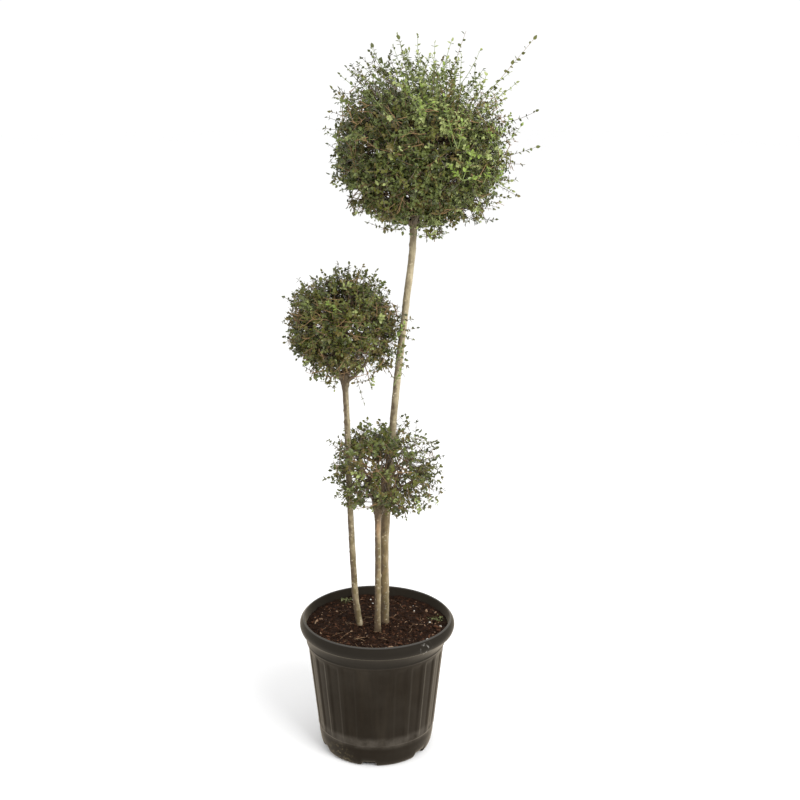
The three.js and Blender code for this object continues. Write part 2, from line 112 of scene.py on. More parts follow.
# Stems: axis bends from the soil to the head, radii, root flare and knuckle, as in the solids. Ochre
# and stain say how much of each colour the bark takes, the key between them how dark the painted shade
# on the side away from the light is, and mound how high the compost lies
STEMS = {
    "tall": {
        "bends": (
            (0.0193, -0.0067, SOIL_TOP), (0.0204, -0.0015, 0.324), (0.0203, 0.0120, 0.4667),
            (0.0300, 0.0215, 0.630), (0.0460, 0.0190, 0.811), (0.0635, 0.0155, 0.970),
            (0.0760, 0.0135, 1.076), (0.0795, 0.0120, 1.148),
        ),
        "radii": (0.0081, 0.0066),
        "flare": 0.0016,
        "knuckle": 0.0020,
        "ochre": 1.0,
        "shade_side": 0.80,
        "stain": 0.46,
        "mound": 0.0035,
    },
    "left": {
        "bends": (
            (-0.0332, -0.0218, SOIL_TOP), (-0.0418, -0.0180, 0.3405), (-0.0460, -0.0140, 0.410),
            (-0.0518, -0.0090, 0.544), (-0.0560, -0.0040, 0.711), (-0.0600, -0.0005, 0.812),
            (-0.0610, 0.0000, 0.834),
        ),
        "radii": (0.0066, 0.0057),
        "flare": 0.0014,
        "knuckle": 0.0050,
        "ochre": 0.30,
        "shade_side": 1.2,
        "stain": 0.06,
        "mound": 0.0070,
    },
    "short": {
        "bends": (
            (0.0043, -0.0464, SOIL_TOP), (0.0057, -0.0340, 0.4085), (0.0058, -0.0220, 0.517),
            (0.0066, -0.0180, 0.556),
        ),
        "radii": (0.0064, 0.0060),
        "flare": 0.0012,
        "knuckle": 0.0040,
        "ochre": 0.68,
        "shade_side": 1.15,
        "stain": 0.74,
        "mound": 0.0015,
    },
}
FLARE_LENGTH = 0.014
KNUCKLE_DROP = 0.010
KNUCKLE_LENGTH = 0.020
STEM_COLUMNS = 36
STEM_ROW = 0.0016
STEM_SINK = 0.006

# Where the tall stem leans on the short one: nearer and thicker between two heights, swollen at the join
CLOSE_RISE = (0.30, 0.37)
CLOSE_FALL = (0.49, 0.54)
CLOSE_SWELL = 0.0012
JOIN_HEIGHT = 0.53
JOIN_LENGTH = 0.035
JOIN_SWELL = 0.0016

# Relief of the bark: how far each form stands out, and the width and height of a pore and of a stub
WAVER = 0.025
KNUCKLE_RELIEF = 0.0015
PORE_SIZE = (0.0014, 0.0010)
PORE_RISE = 0.00022
NODE_FIRST = 0.03
NODE_GAP = 0.047
NODE_SHIFT = 0.01
NODE_LENGTH = 0.0032
NODE_RISE = 0.00045
STUBS = 7
STUB_SIZE = (0.0026, 0.0034)
STUB_RISE = 0.0013

# Colour of the bark: a painted highlight on the side towards the light and painted shade on the side away
# from it, its dark head, and the soil and stain at its foot
# Side and strength of the painted highlight, then side of the painted shade and the heights where it halves
LIT_SIDE_ANGLE = math.radians(-8)
LIT_SIDE_PALENESS = 0.58
SHADE_SIDE_ANGLE = math.radians(200)
SHADE_SIDE_TOP = (0.75, 1.05)
HEAD_DROP = 1.8 * KNUCKLE_DROP
HEAD_LENGTH = 1.3 * KNUCKLE_LENGTH
HEAD_KNUCKLE = 0.005
SOIL_DARK = 0.9
SOIL_LENGTH = 0.007
STAIN_LENGTH = 0.065
DARKEST = 0.94
BOUGH_DARK = 0.80

# Boughs, as in the solids, and their grid
BOUGH_DROP = 0.015
BOUGH_STAGGER = 0.008
BOUGH_SPREAD = math.radians(52)
BOUGH_BOW = 0.18
BOUGH_TAPER = 0.62
BOUGH_COLLAR = 0.35
BOUGH_ROWS = 26
BOUGH_COLUMNS = 14

# Growing rule of the balls, as in the solids
CORE_CLUMPS = 0.06
TWIG_ROOT_LEAST = 0.6
TWIG_LIFT = 0.05
TWIG_SWAY = 0.06
TWIG_TURN = 0.3
FORK_SPREAD = 0.55
MASS_STEM = 0.7

# Its finer twigs. Roots are shares along the twig below or of the reach, ends are shares of the reach, short
# is a share by which a tip falls short of the fringe, and run is a length. Pairs are the least and the most
LIMB_STEPS = 9
LIMB_DOWN = -0.1
LIMB_SHORT = (0.10, 0.28)
BRANCH_STEPS = 7
BRANCH_ROOTS = (0.40, 1.0)
BRANCH_SPREAD = FORK_SPREAD * 0.75
BRANCH_SHORT = (-0.04, 0.14)
UNDER_ROOTS = (0.35, 1.0)
UNDER_SPREAD = 0.05
UNDER_ENDS = (0.80, 0.95)
DROOP_ROOT = 0.55
DROOP_ROOT_LOW = 0.7
DROOP_END = 0.97
DROOP_LIFT = -0.16
SHOOT_STEPS = 3
SHOOT_ROOTS = (0.30, 1.0)
SHOOT_ROOT_POWER = 0.8
SHOOT_SPREAD = 0.26
SHOOT_END = 1.02
SHOOT_LEAST = 0.07
SHOOT_LEAVES = (1.6, 3.6)
FRINGE_EVEN = 1.4
STEM_CLEAR = 0.004
STRAY_ROOTS = (0.70, 0.84)
STRAY_SPREAD = 0.14
STRAY_ENDS = (0.96, 1.04)
STRAY_SKY = 0.10
TALL_ROOT = 0.62
CLIPPED_HIGHEST = 0.30
CLIPPED_TILT = 0.6
CLIPPED_ROOTS = (0.78, 0.92)
CLIPPED_RUN = (0.016, 0.050)
CLIPPED_ENDS = (0.88, 0.97)
CLIPPED_SWAY = 0.20
SIDE_ROOTS = (0.25, 0.75)
SIDE_SPREAD = 0.022
SIDE_RUN = (0.008, 0.020)
SIDE_SWAY = 0.25
WILD_ROOT = (0.3, 0.7)
FRESH_ROOT = 0.97
LEADER_BOW = (0.003, 0.002, 0)
TWIG_RADII = {
    "limbs": 0.0021,
    "branches": 0.0015,
    "clipped": 0.00062,
    "wild": 0.0009,
    "strays": 0.0007,
    "fresh": 0.0009,
    "shoots": 0.0007,
}
RUSSET_SHARE = 0.6

# Its leaves: how they lean, how much finer they are at the right, where the inside is bare, and how much
# deeper the light tints, which are partly painted light, go towards the sky
LEAF_LEAN = math.radians(64)
LEAF_FINER = 0.12
INNER_BARE = 0.5
INNER_EDGE = (0.62, 0.5)
SKY_DEEPER = 0.18
LEAF_TINTS = ("deep", "bronze", "olive", "middle", "light", "fresh")

# Stage: the camera's sensor, each light's place and size, the height that they face, and the floor's rings
SENSOR_WIDTH = 36.0
KEY_LIGHT = ((1.7, -2.3, 2.9), 1.8)
FILL_LIGHT = ((-2.4, -1.2, 1.8), 1.6)
LIT_HEIGHT = 0.8
FLOOR_COLUMNS = 96
FLOOR_ROWS = ((14, -0.02), (14, -0.0004), (0.01, -0.0004))
FLOOR_DIM = 0.99

# A leaf: its right rim from base to tip as shares of its length along and across, half of its width, its
# midrib, its faces above and below, and the edges that stay crisp
LEAF_RIM = ((0.0, 0.0), (0.16, 0.2), (0.45, 0.29), (0.76, 0.18), (1.0, 0.0))
LEAF_HALF = 0.29
LEAF_MIDRIB = (0.34, 0.68)
LEAF_UPPER = (
    (0, 1, 8), (1, 2, 8), (2, 9, 8), (2, 3, 9), (3, 4, 9),
    (4, 5, 9), (5, 6, 9), (6, 8, 9), (6, 7, 8), (7, 0, 8),
)
LEAF_UNDER = ((0, 2, 1), (0, 3, 2), (0, 4, 3), (0, 5, 4), (0, 6, 5), (0, 7, 6))
LEAF_SHARP = ((0, 1), (1, 2), (2, 3), (3, 4), (4, 5), (5, 6), (6, 7), (0, 7), (0, 8), (8, 9), (4, 9))


def length(label, note, default):
    """A size in metres that a user may change."""
    return FloatProperty(name=label, description=note, default=default, unit="LENGTH", precision=4)


def place(label, note, default):
    """A point or three half widths, in metres."""
    return FloatVectorProperty(name=label, description=note, default=default, unit="LENGTH", precision=4)


def rotation(label, note, default):
    """A turn, in radians."""
    return FloatProperty(name=label, description=note, default=default, unit="ROTATION")


def wattage(label, note, default):
    """A lamp's power, in watts."""
    return FloatProperty(name=label, description=note, default=default, unit="POWER")


def tint(label, note, default):
    """A base colour, as linear light."""
    return FloatVectorProperty(name=label, description=note, default=default, subtype="COLOR", min=0, max=1)


def share(label, note, default):
    """A plain ratio."""
    return FloatProperty(name=label, description=note, default=default, precision=3)


def shares(label, note, default):
    """Several plain ratios."""
    return FloatVectorProperty(name=label, description=note, default=default, size=len(default), precision=3)


def count(label, note, default):
    """A whole number of like things."""
    return IntProperty(name=label, description=note, default=default, min=0)


class PotSettings(bpy.types.PropertyGroup):
    """Sizes and colours of the nursery pot"""

    height: length("Height", "From the floor to the lip", POT_TOP)
    collar_radius: length("Collar radius", "Widest place, just under the lip", 0.165)
    lip_radius: length("Lip radius", "Outer edge of the lip", 0.1556)
    neck_radius: length("Neck radius", "Where the collar tucks in to the wall", 0.1485)
    step_radius: length("Step radius", "Lower end of the wall, over the foot band", 0.1258)
    foot_radius: length("Foot radius", "Lower end of the foot band", 0.1185)
    flutes: count("Flutes", "Pressed panels round the wall", 24)
    flute_depth: length("Flute depth", "How far each panel is pressed in", 0.0020)
    plastic: tint("Plastic", "Moulded black plastic", (0.0142, 0.0107, 0.0074))
    faded: tint("Faded plastic", "Where sun and handling have greyed it", (0.0215, 0.0174, 0.0130))
    # Dust; on the ribs at the sides and on the inside wall it also stands for painted light
    dust: tint("Dust", "Dried dust and scuffs", (0.172, 0.134, 0.088))
    dirt: tint("Dirt", "Dried soil at the foot", (0.250, 0.200, 0.110))


class CompostSettings(bpy.types.PropertyGroup):
    """Sizes and colours of the compost"""

    level: length("Level", "Height of the compost round the stems", SOIL_TOP)
    dip: length("Dip", "How far it falls towards the wall", 0.002)
    level_radius: length("Level radius", "It is level up to here", 0.105)
    radius: length("Radius", "Where it meets the wall", 0.1500)
    chips: count("Chips", "Splinters of bark", 4200)
    fibres: count("Fibres", "Loose fibres and roots", 46)
    grit: count("Grit", "White bits", 16)
    moss: count("Moss blades", "Blades in each moss patch", 80)
    peat: tint("Peat", "Damp dark compost", (0.0100, 0.0040, 0.0016))
    loam: tint("Loam", "Drier crumbs", (0.036, 0.0155, 0.0070))


class BarkSettings(bpy.types.PropertyGroup):
    """Finish of the stems and boughs"""

    relief: length("Relief", "Depth of the bark's ridges", 0.00030)
    pores: count("Pores", "Raised pale pores for each metre of stem", 170)
    tan: tint("Tan bark", "Main colour", (0.372, 0.315, 0.198))
    grey: tint("Grey bark", "Weathered skin", (0.255, 0.213, 0.133))
    ochre: tint("Ochre bark", "Older bark low on the stems", (0.198, 0.138, 0.060))
    olive: tint("Olive bark", "Algae low on the stems", (0.118, 0.090, 0.033))
    # Also the colour of the painted highlight on the stems' side towards the light
    pore: tint("Pore", "Pale breathing pores", (0.545, 0.465, 0.315))


class LeafSettings(bpy.types.PropertyGroup):
    """Colours and form of the leaves and twigs"""

    deep: tint("Deep green", "Old leaves in shade", (0.044, 0.053, 0.0125))
    bronze: tint("Bronze green", "Oldest leaves", (0.110, 0.089, 0.019))
    olive: tint("Olive green", "Old leaves in light", (0.094, 0.099, 0.016))
    middle: tint("Middle green", "Grown leaves", (0.100, 0.122, 0.029))
    light: tint("Light green", "Young leaves", (0.280, 0.318, 0.110))
    fresh: tint("Fresh green", "Leaves of new shoots", (0.200, 0.275, 0.050))
    wood: tint("Old wood", "Limbs inside the balls", (0.110, 0.072, 0.042))
    russet: tint("Russet twig", "Branches", (0.190, 0.120, 0.056))
    amber: tint("Amber twig", "Clipped twigs", (0.250, 0.148, 0.062))
    grey: tint("Grey twig", "Fine twigs", (0.150, 0.118, 0.090))
    sappy: tint("Green shoot", "This year's shoots", (0.165, 0.210, 0.055))
    fold: share("Fold", "Rise of a leaf's rim over its midrib", 0.08)
    curl: share("Curl", "Droop of a leaf's tip", 0.13)


class StageSettings(bpy.types.PropertyGroup):
    """Camera, light and floor"""

    eye: place("Eye", "Camera position", (0.0517, -2.739, 1.577))
    pitch: rotation("Pitch", "Camera tilt under the horizon", math.radians(16.34))
    lens: FloatProperty(name="Lens", description="Focal length in millimetres", default=63.0, unit="CAMERA")
    sky: share("Sky", "Strength of the white surroundings", 1.04)
    key: wattage("Key light", "Power of the large soft light", 105.0)
    fill: wattage("Fill light", "Power of the opposite light", 6.0)
    floor: tint("Floor", "Pale floor", (0.965, 0.965, 0.965))


BALL_FIELDS = {
    "seed": (count, "Seed", "Fixes every random choice of the ball"),
    "centre": (place, "Centre", "Middle of the clipped outline"),
    "half": (place, "Half widths", "Half of the outline's width, depth and height"),
    "squareness": (share, "Squareness", "2 is round, more is boxier"),
    "lumps": (share, "Lumps", "Low swells of the outline"),
    "core_share": (share, "Core", "Size of the dense inside"),
    "core_drop": (length, "Core drop", "The inside lies this much lower"),
    "boughs": (count, "Boughs", "Boughs at the stem's head"),
    "bough_radius": (length, "Bough radius", "At its root"),
    "limbs": (count, "Limbs", "First twigs of the ball"),
    "branches": (count, "Branches", "On each limb"),
    "shoots": (count, "Shoots", "On each branch"),
    "pairs": (count, "Leaf pairs", "On each shoot"),
    "strays": (count, "Strays", "Shoots that stand out of the clipped outline"),
    "clipped": (count, "Clipped twigs", "Bare twigs that lie along the outline"),
    "leaf": (length, "Leaf", "Length of a grown leaf"),
    "leaf_width": (share, "Leaf width", "Against the leaf's outline"),
    "bare": (share, "Bare", "Share of the leaves that have dropped"),
    "under": (count, "Under branches", "On each bough"),
    "tufts": (share, "Tufts", "Unevenness of the leafy outline"),
    "corner": (share, "Corner", "How far the upper right is cut back, of the reach"),
    "fringe": (share, "Fringe", "Depth of the loose rim, of the reach"),
    "fringe_more": (shares, "More fringe", "Added to the sky, the right, the ground and the upper right"),
    "thin": (shares, "Thinning", "Shoots missing to the sky, the right, the ground and the upper right"),
}


def ball_settings(class_name, label, **own):
    """A PropertyGroup for one ball: every ball has the same fields, with defaults of its own."""
    fields = {key: kind(name, note, own[key]) for key, (kind, name, note) in BALL_FIELDS.items()}
    body = {"__annotations__": fields, "__doc__": f"Outline, twigs and leaves of the {label}"}
    return type(class_name, (bpy.types.PropertyGroup,), body)


TopBallSettings = ball_settings(
    "TopBallSettings", "top ball", seed=11, centre=(0.099, 0.010, 1.288), half=(0.185, 0.174, 0.164),
    squareness=2.6, lumps=0.04, core_share=0.65, core_drop=0.012, boughs=5, bough_radius=0.0038,
    limbs=64, branches=8, shoots=9, pairs=4, strays=200, clipped=130, leaf=0.0093, leaf_width=1.15, bare=0.08,
    under=6, tufts=0.05, fringe=0.13, corner=0.11,
    fringe_more=(0.27, 0.09, 0.10, 0.09), thin=(0.69, 0.07, 0.06, 0.03),
)
LeftBallSettings = ball_settings(
    "LeftBallSettings", "left ball", seed=23, centre=(-0.062, -0.002, 0.930), half=(0.119, 0.116, 0.115),
    squareness=2.15, lumps=0.05, core_share=0.64, core_drop=0.0, boughs=4, bough_radius=0.0036,
    limbs=34, branches=7, shoots=8, pairs=4, strays=40, clipped=130, leaf=0.0096, leaf_width=1.20, bare=0.08,
    under=1, tufts=0.05, fringe=0.15, corner=0.0,
    fringe_more=(0.13, 0.06, 0.20, 0.0), thin=(0.42, 0.14, 0.36, 0.0),
)
SmallBallSettings = ball_settings(
    "SmallBallSettings", "small ball", seed=37, centre=(0.0205, -0.008, 0.630), half=(0.119, 0.108, 0.095),
    squareness=2.35, lumps=0.07, core_share=0.46, core_drop=0.002, boughs=4, bough_radius=0.0032,
    limbs=24, branches=5, shoots=6, pairs=3, strays=46, clipped=46, leaf=0.0098, leaf_width=1.25, bare=0.12,
    under=1, tufts=0.08, fringe=0.20, corner=0.0,
    fringe_more=(0.08, 0.06, 0.08, 0.0), thin=(0.15, 0.0, 0.02, 0.0),
)

# What each ball is grown from. Stem carries it. Wild, tall and droops are the tips of its longest shoots,
# of other long ones and of drooping sprays, and fresh the roots and tips of new shoots, all as offsets
# from its centre in millimetres. Shade, sun and ground are the odds of the leaf tints in the shade,
# towards the light, which is sunward, and towards the ground, where a further share bare_low of the
# leaves has dropped. The lighter tints towards the light are partly young growth and partly painted
# light, and those towards the ground partly old bronze leaves and partly painted light thrown up from
# the floor. Wild_leaf is the leaf's length on the longest shoots, sappy the tint from which shoots are
# green, and stray_bias the way that strays turn. Sky gives the x and z offset and the radius of each gap
# that can be seen through, and window those that show the stem's head, in millimetres too
BALLS = {
    "top": {
        "stem": "tall",
        "wild": (
            (81, -12, 223), (216, 30, 203), (223, -30, -2), (-51, -22, 207), (-103, 18, 190),
            (-184, -22, 112), (-192, -12, -58), (36, -52, -180), (-30, 150, 150), (90, 175, 30),
        ),
        "tall": (
            (-52, -10, 206), (-102, -10, 185), (-13, 30, 203), (18, -40, 191), (51, 10, 194),
            (-138, 20, 145), (-161, -30, 134), (161, -20, 137), (178, 30, 115), (213, -10, 64),
            (190, -10, -37), (180, -20, -96), (110, 80, 175), (-60, 100, 180), (20, 150, 140),
            (-182, 40, 60),
        ),
        "droops": (
            (-152, -60, -114), (-134, -80, -122), (-108, -90, -120), (-86, -90, -132), (-146, -30, -124),
            (-126, -40, -132), (-98, -50, -142), (-70, -80, -152), (-82, -30, -168), (4, -70, -178),
            (20, -60, -186), (34, -60, -168), (100, -50, -147), (122, -40, -146), (20, 120, -130),
            (-110, 85, -125), (105, 90, -130),
        ),
        "fresh": (
            ((-9, -168, 72), (-44, -150, 142)), ((-9, -168, 72), (-14, -168, 106)),
            ((-20, -168, 60), (10, -172, 93)), ((60, -174, 10), (32, -162, 103)),
            ((60, -174, 10), (66, -172, 59)), ((70, -166, -50), (45, -172, -22)),
            ((70, -166, -50), (86, -168, 6)), ((70, -166, -50), (98, -160, -40)),
            ((112, -130, -10), (130, -122, 40)), ((140, -105, 20), (158, -105, 66)),
            ((112, -130, -60), (118, -128, -30)), ((130, -115, -60), (142, -112, -40)),
            ((-60, 160, 30), (-45, 156, 110)), ((80, 160, 10), (105, 155, 85)),
            ((-165, 40, 10), (-160, 50, 80)),
        ),
        "shade": (0.36, 0.08, 0.18, 0.31, 0.07, 0.0),
        "sun": (0.02, 0.03, 0.06, 0.17, 0.58, 0.14),
        "ground": (0.14, 0.14, 0.24, 0.33, 0.15, 0.0),
        "bare_low": 0.05,
        "wild_leaf": 0.0132,
        "sappy": "middle",
        "sunward": (0.58, -0.18, 0.79),
        "stray_bias": (-0.05, 0.0, 0.50),
        "sky": (
            (56, -70, 4), (33, -114, 3), (-30, -104, 3), (-73, -98, 6), (104, -108, 4), (91, -135, 4),
            (-49, 106, 4), (-132, -98, 8),
        ),
        "window": ((-20, -150, 10),),
    },
    "left": {
        "stem": "left",
        "wild": (
            (156, -30, 2), (44, -52, -157), (14, 10, 132), (-121, -12, 6),
        ),
        "tall": (
            (40, -10, 124), (-10, 20, 122), (66, 10, 110), (-116, -10, 60), (135, -30, 20), (130, -35, 0),
            (138, -30, -20), (125, -40, -45), (128, -35, -75), (124, -40, 32), (120, -45, 10),
            (127, -40, -10), (119, -50, -30), (124, -45, -58), (120, -40, -90), (114, -50, -66),
        ),
        "droops": (
            (103, -28, -104), (-37, -50, -112), (58, -30, -124), (86, 30, -108), (-70, 20, -104),
            (-18, -40, -126), (-66, -40, -100), (40, 40, -112),
        ),
        "fresh": (
            ((2, -105, 52), (-27, -100, 70)), ((104, -48, -22), (124, -46, 16)),
            ((106, -48, -70), (121, -46, -26)), ((104, -48, -116), (118, -46, -72)),
        ),
        "shade": (0.30, 0.15, 0.38, 0.15, 0.02, 0.0),
        "sun": (0.20, 0.09, 0.34, 0.29, 0.08, 0.0),
        "ground": (0.06, 0.36, 0.34, 0.14, 0.10, 0.0),
        "bare_low": 0.28,
        "wild_leaf": 0.0100,
        "sappy": "light",
        "sunward": (0.2, -0.2, 0.95),
        "stray_bias": (-0.1, 0.0, 0.15),
        "sky": (
            (27, -65, 4), (43, -63, 4), (47, -86, 6), (71, -25, 3), (96, -38, 3), (-47, -3, 3),
            (-40, 28, 3), (36, 91, 4),
        ),
        "window": ((1, -110, 10),),
    },
    "small": {
        "stem": "short",
        "wild": (
            (-118, -20, 12), (120, -20, -6), (10, -25, 99), (26, -40, -99),
        ),
        "tall": (
            (104, -20, 60), (120, -10, 30), (122, -20, -40), (-122, -20, -16), (98, -50, 36),
            (88, -70, -14), (104, -40, -52), (108, 20, 2), (80, -60, -60), (112, -30, 14), (94, 30, -30),
            (58, -70, -66), (106, -30, -66), (92, -10, -80), (114, 0, -52), (82, -20, 78),
        ),
        "droops": (
            (-90, -40, -66), (70, -30, -86), (45, -40, -98),
        ),
        "fresh": (),
        "shade": (0.24, 0.15, 0.34, 0.21, 0.06, 0.0),
        "sun": (0.18, 0.11, 0.33, 0.31, 0.07, 0.0),
        "ground": (0.16, 0.26, 0.30, 0.22, 0.06, 0.0),
        "bare_low": 0.08,
        "wild_leaf": 0.0120,
        "sappy": "light",
        "sunward": (0.2, -0.2, 0.95),
        "stray_bias": (0.25, 0.0, -0.05),
        "sky": (
            (-3, 13, 6), (-38, 20, 4), (34, 22, 4), (91, 26, 5), (69, 7, 4), (-59, 22, 4), (-4, -35, 3),
            (52, -30, 4), (71, -41, 4), (79, -66, 3), (-33, -76, 8),
        ),
        "window": ((-11, -94, 10), (-11, -106, 10)),
    },
}


class TopiarySettings(bpy.types.PropertyGroup):
    """Everything that a user would change"""

    pot: PointerProperty(type=PotSettings)
    compost: PointerProperty(type=CompostSettings)
    bark: PointerProperty(type=BarkSettings)
    leaves: PointerProperty(type=LeafSettings)
    top: PointerProperty(type=TopBallSettings)
    left: PointerProperty(type=LeftBallSettings)
    small: PointerProperty(type=SmallBallSettings)
    stage: PointerProperty(type=StageSettings)


# Shapes as whole arrays


def unit(vectors):
    """Vectors divided by their own lengths."""
    return vectors / np.linalg.norm(vectors, axis=-1, keepdims=True)


def even_turns(number):
    """Even angles round a full turn."""
    return np.arange(number) * FULL_TURN / number


def level_ways(turn):
    """Level directions, turned from +X towards +Y."""
    return np.stack([np.cos(turn), np.sin(turn), 0 * turn], axis=-1)


def ease(low, high, values):
    """0 under low, 1 over high, and the smooth cubic 3t^2 - 2t^3 between them."""
    t = np.clip((values - low) / (high - low), 0, 1)
    return t * t * (3 - 2 * t)


def swells(points, seed, wave, waves=10):
    """Soft noise, about -1 to 1: a sum of sine waves in seeded directions, each about a wave long."""
    rng = np.random.default_rng(seed)
    ways = unit(rng.normal(size=(waves, 3))) * rng.uniform(0.6, 1.7, (waves, 1)) * FULL_TURN / wave
    phases = rng.uniform(0, FULL_TURN, waves)
    return np.sin(points @ ways.T + phases).sum(axis=-1) / math.sqrt(2 * waves)


def bowed(roots, knees, tips, steps):
    """Quadratic curves from roots to tips, drawn towards knees: (1-t)^2 root + 2t(1-t) knee + t^2 tip."""
    t = np.linspace(0, 1, steps)[:, None]
    return (1 - t) ** 2 * roots[:, None] + 2 * t * (1 - t) * knees[:, None] + t**2 * tips[:, None]


def along(paths, which, run):
    """Points on the chosen paths at shares of their length, on the straight runs between their points."""
    spot = run * (paths.shape[1] - 1)
    low = np.minimum(spot.astype(int), paths.shape[1] - 2)
    part = (spot - low)[:, None]
    return (1 - part) * paths[which, low] + part * paths[which, low + 1]


def smooth_path(bends, step):
    """A path through all bends with even steps: cubic pieces whose slopes weigh the runs beside each bend
    by the square root of their length, with the ends carried straight on."""
    bends = np.array(bends)
    held = np.vstack([2 * bends[0] - bends[1], bends, 2 * bends[-1] - bends[-2]])
    gap = np.sqrt(np.linalg.norm(np.diff(held, axis=0), axis=1))[:, None]
    a, b, c, d = held[:-3], held[1:-2], held[2:-1], held[3:]
    before, here, after = gap[:-2], gap[1:-1], gap[2:]
    slope_b = here * ((b - a) / before - (c - a) / (before + here) + (c - b) / here)
    slope_c = here * ((c - b) / here - (d - b) / (here + after) + (d - c) / after)
    t = np.linspace(0, 1, 60, endpoint=False)[None, :, None]
    b, c, slope_b, slope_c = (x[:, None] for x in (b, c, slope_b, slope_c))
    curve = (2 * t**3 - 3 * t**2 + 1) * b + (t**3 - 2 * t**2 + t) * slope_b
    curve = curve + (3 * t**2 - 2 * t**3) * c + (t**3 - t**2) * slope_c
    fine = np.vstack([curve.reshape(-1, 3), bends[-1:]])
    run = np.concatenate([[0], np.cumsum(np.linalg.norm(np.diff(fine, axis=0), axis=1))])
    even = np.linspace(0, run[-1], max(2, round(run[-1] / step) + 1))
    return np.stack([np.interp(even, run, fine[:, axis]) for axis in range(3)], axis=1), even


def closed_skin(rings):
    """Points and faces of closed tubes. rings holds points by tube, ring and side; quads join the rings,
    and fans of triangles close each end on its middle."""
    number, steps, sides, _ = rings.shape
    ends = np.stack([rings[:, 0].mean(axis=1), rings[:, -1].mean(axis=1)], axis=1)
    points = np.concatenate([rings.reshape(number, -1, 3), ends], axis=1)
    first = (np.arange(number) * points.shape[1])[:, None, None]
    ring = (np.arange(steps) * sides)[None, :, None] + first
    side = np.arange(sides)[None, None, :]
    following = (side + 1) % sides
    low, high = ring[:, :-1], ring[:, 1:]
    quads = np.stack([low + side, low + following, high + following, high + side], axis=-1)
    middle = first + steps * sides + 0 * side
    start = np.stack([middle, ring[:, :1] + following, ring[:, :1] + side], axis=-1)
    finish = np.stack([middle + 1, ring[:, -1:] + side, ring[:, -1:] + following], axis=-1)
    return points.reshape(-1, 3), [quads.reshape(-1, 4), start.reshape(-1, 3), finish.reshape(-1, 3)]


def tubes(paths, wide, thick, sides, flat=None):
    """Rings of oval section carried along paths: each ring is square to its path, wide across and thick
    through. Its across direction is level to flat, or to the axis that the path keeps most clear of."""
    ahead = unit(np.gradient(paths, axis=1))
    if flat is None:
        chord = np.abs(paths[:, -1] - paths[:, 0])
        flat = np.eye(3)[np.argmin(chord, axis=1)]
    across = unit(np.cross(flat[:, None], ahead))
    through = np.cross(ahead, across)
    angle = even_turns(sides)
    spread = np.cos(angle)[:, None] * (across * wide[..., None])[:, :, None]
    spread = spread + np.sin(angle)[:, None] * (through * thick[..., None])[:, :, None]
    return paths[:, :, None] + spread


def new_piece(name, points, faces, materials, nodes=(), finish=None, sharp=None):
    """A mesh object at the origin from arrays of points and of faces, each array with faces of one width.
    It rides on the plant's body, stands for the named nodes and takes the slot's finish."""
    mesh = bpy.data.meshes.new(name)
    corners = np.concatenate([part.ravel() for part in faces])
    widths = np.concatenate([np.full(len(part), part.shape[1]) for part in faces])
    mesh.vertices.add(len(points))
    mesh.vertices.foreach_set("co", points.astype(np.float32).ravel())
    mesh.loops.add(len(corners))
    mesh.loops.foreach_set("vertex_index", corners.astype(np.int32))
    mesh.polygons.add(len(widths))
    mesh.polygons.foreach_set("loop_start", (np.cumsum(widths) - widths).astype(np.int32))
    for material in materials:
        mesh.materials.append(material)
    if finish is not None:
        mesh.polygons.foreach_set("material_index", finish.astype(np.int32))
    mesh.update(calc_edges=True)
    mesh.shade_smooth()
    if sharp is not None:
        ends = np.empty(2 * len(mesh.edges), np.int32)
        mesh.edges.foreach_get("vertices", ends)
        marks = mesh.attributes.new("sharp_edge", "BOOLEAN", "EDGE")
        marks.data.foreach_set("value", sharp(np.sort(ends.reshape(-1, 2), axis=1)))
    piece = bpy.data.objects.new(name, mesh)
    bpy.context.scene.collection.objects.link(piece)
    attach(piece, BODY)
    if nodes:
        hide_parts(*nodes)
    return piece


def joined(parts):
    """Points, faces and finish numbers of several skins as one: each part is (points, faces, finish)."""
    offsets = np.cumsum([0] + [len(points) for points, _, _ in parts])
    points = np.concatenate([part[0] for part in parts])
    faces = [array + offset for part, offset in zip(parts, offsets) for array in part[1]]
    finish = np.concatenate([number for part in parts for number in part[2]])
    return points, faces, finish


def tube_part(rings, finish):
    """A part for joined(): closed tubes whose faces take their tube's finish number."""
    points, faces = closed_skin(rings)
    return points, faces, [np.repeat(finish, len(array) // len(rings)) for array in faces]


def mark(piece, name, values):
    """A number for each point, which the piece's material reads as an attribute."""
    attribute = piece.data.attributes.new(name, "FLOAT", "POINT")
    attribute.data.foreach_set("value", values.astype(np.float32))


# Materials


def add(tree, kind, wires=None, **own):
    """One node: own gives its own values, and wires set or link its inputs by name or number."""
    node = tree.nodes.new(kind)
    for key, value in own.items():
        setattr(node, key, value)
    for key, value in (wires or {}).items():
        if isinstance(value, bpy.types.NodeSocket):
            tree.links.new(value, node.inputs[key])
        else:
            node.inputs[key].default_value = value
    return node


def opaque(colour):
    """A colour with full alpha."""
    return (*colour, 1.0)


def times(tree, first, *others):
    """The product of masks and numbers."""
    for other in others:
        first = add(tree, "ShaderNodeMath", {0: first, 1: other}, operation="MULTIPLY").outputs[0]
    return first


def layer(tree, under, over, *masks):
    """Lays the colour over on the colour under where the product of the masks is 1."""
    ends = [x if isinstance(x, bpy.types.NodeSocket) else opaque(x) for x in (under, over)]
    wires = {0: times(tree, *masks), 6: ends[0], 7: ends[1]}
    return add(tree, "ShaderNodeMix", wires, data_type="RGBA").outputs[2]


def ranged(tree, value, low, high):
    """A mask of 0 to 1 as a value from low to high."""
    return add(tree, "ShaderNodeMapRange", {0: value, 3: low, 4: high}).outputs[0]


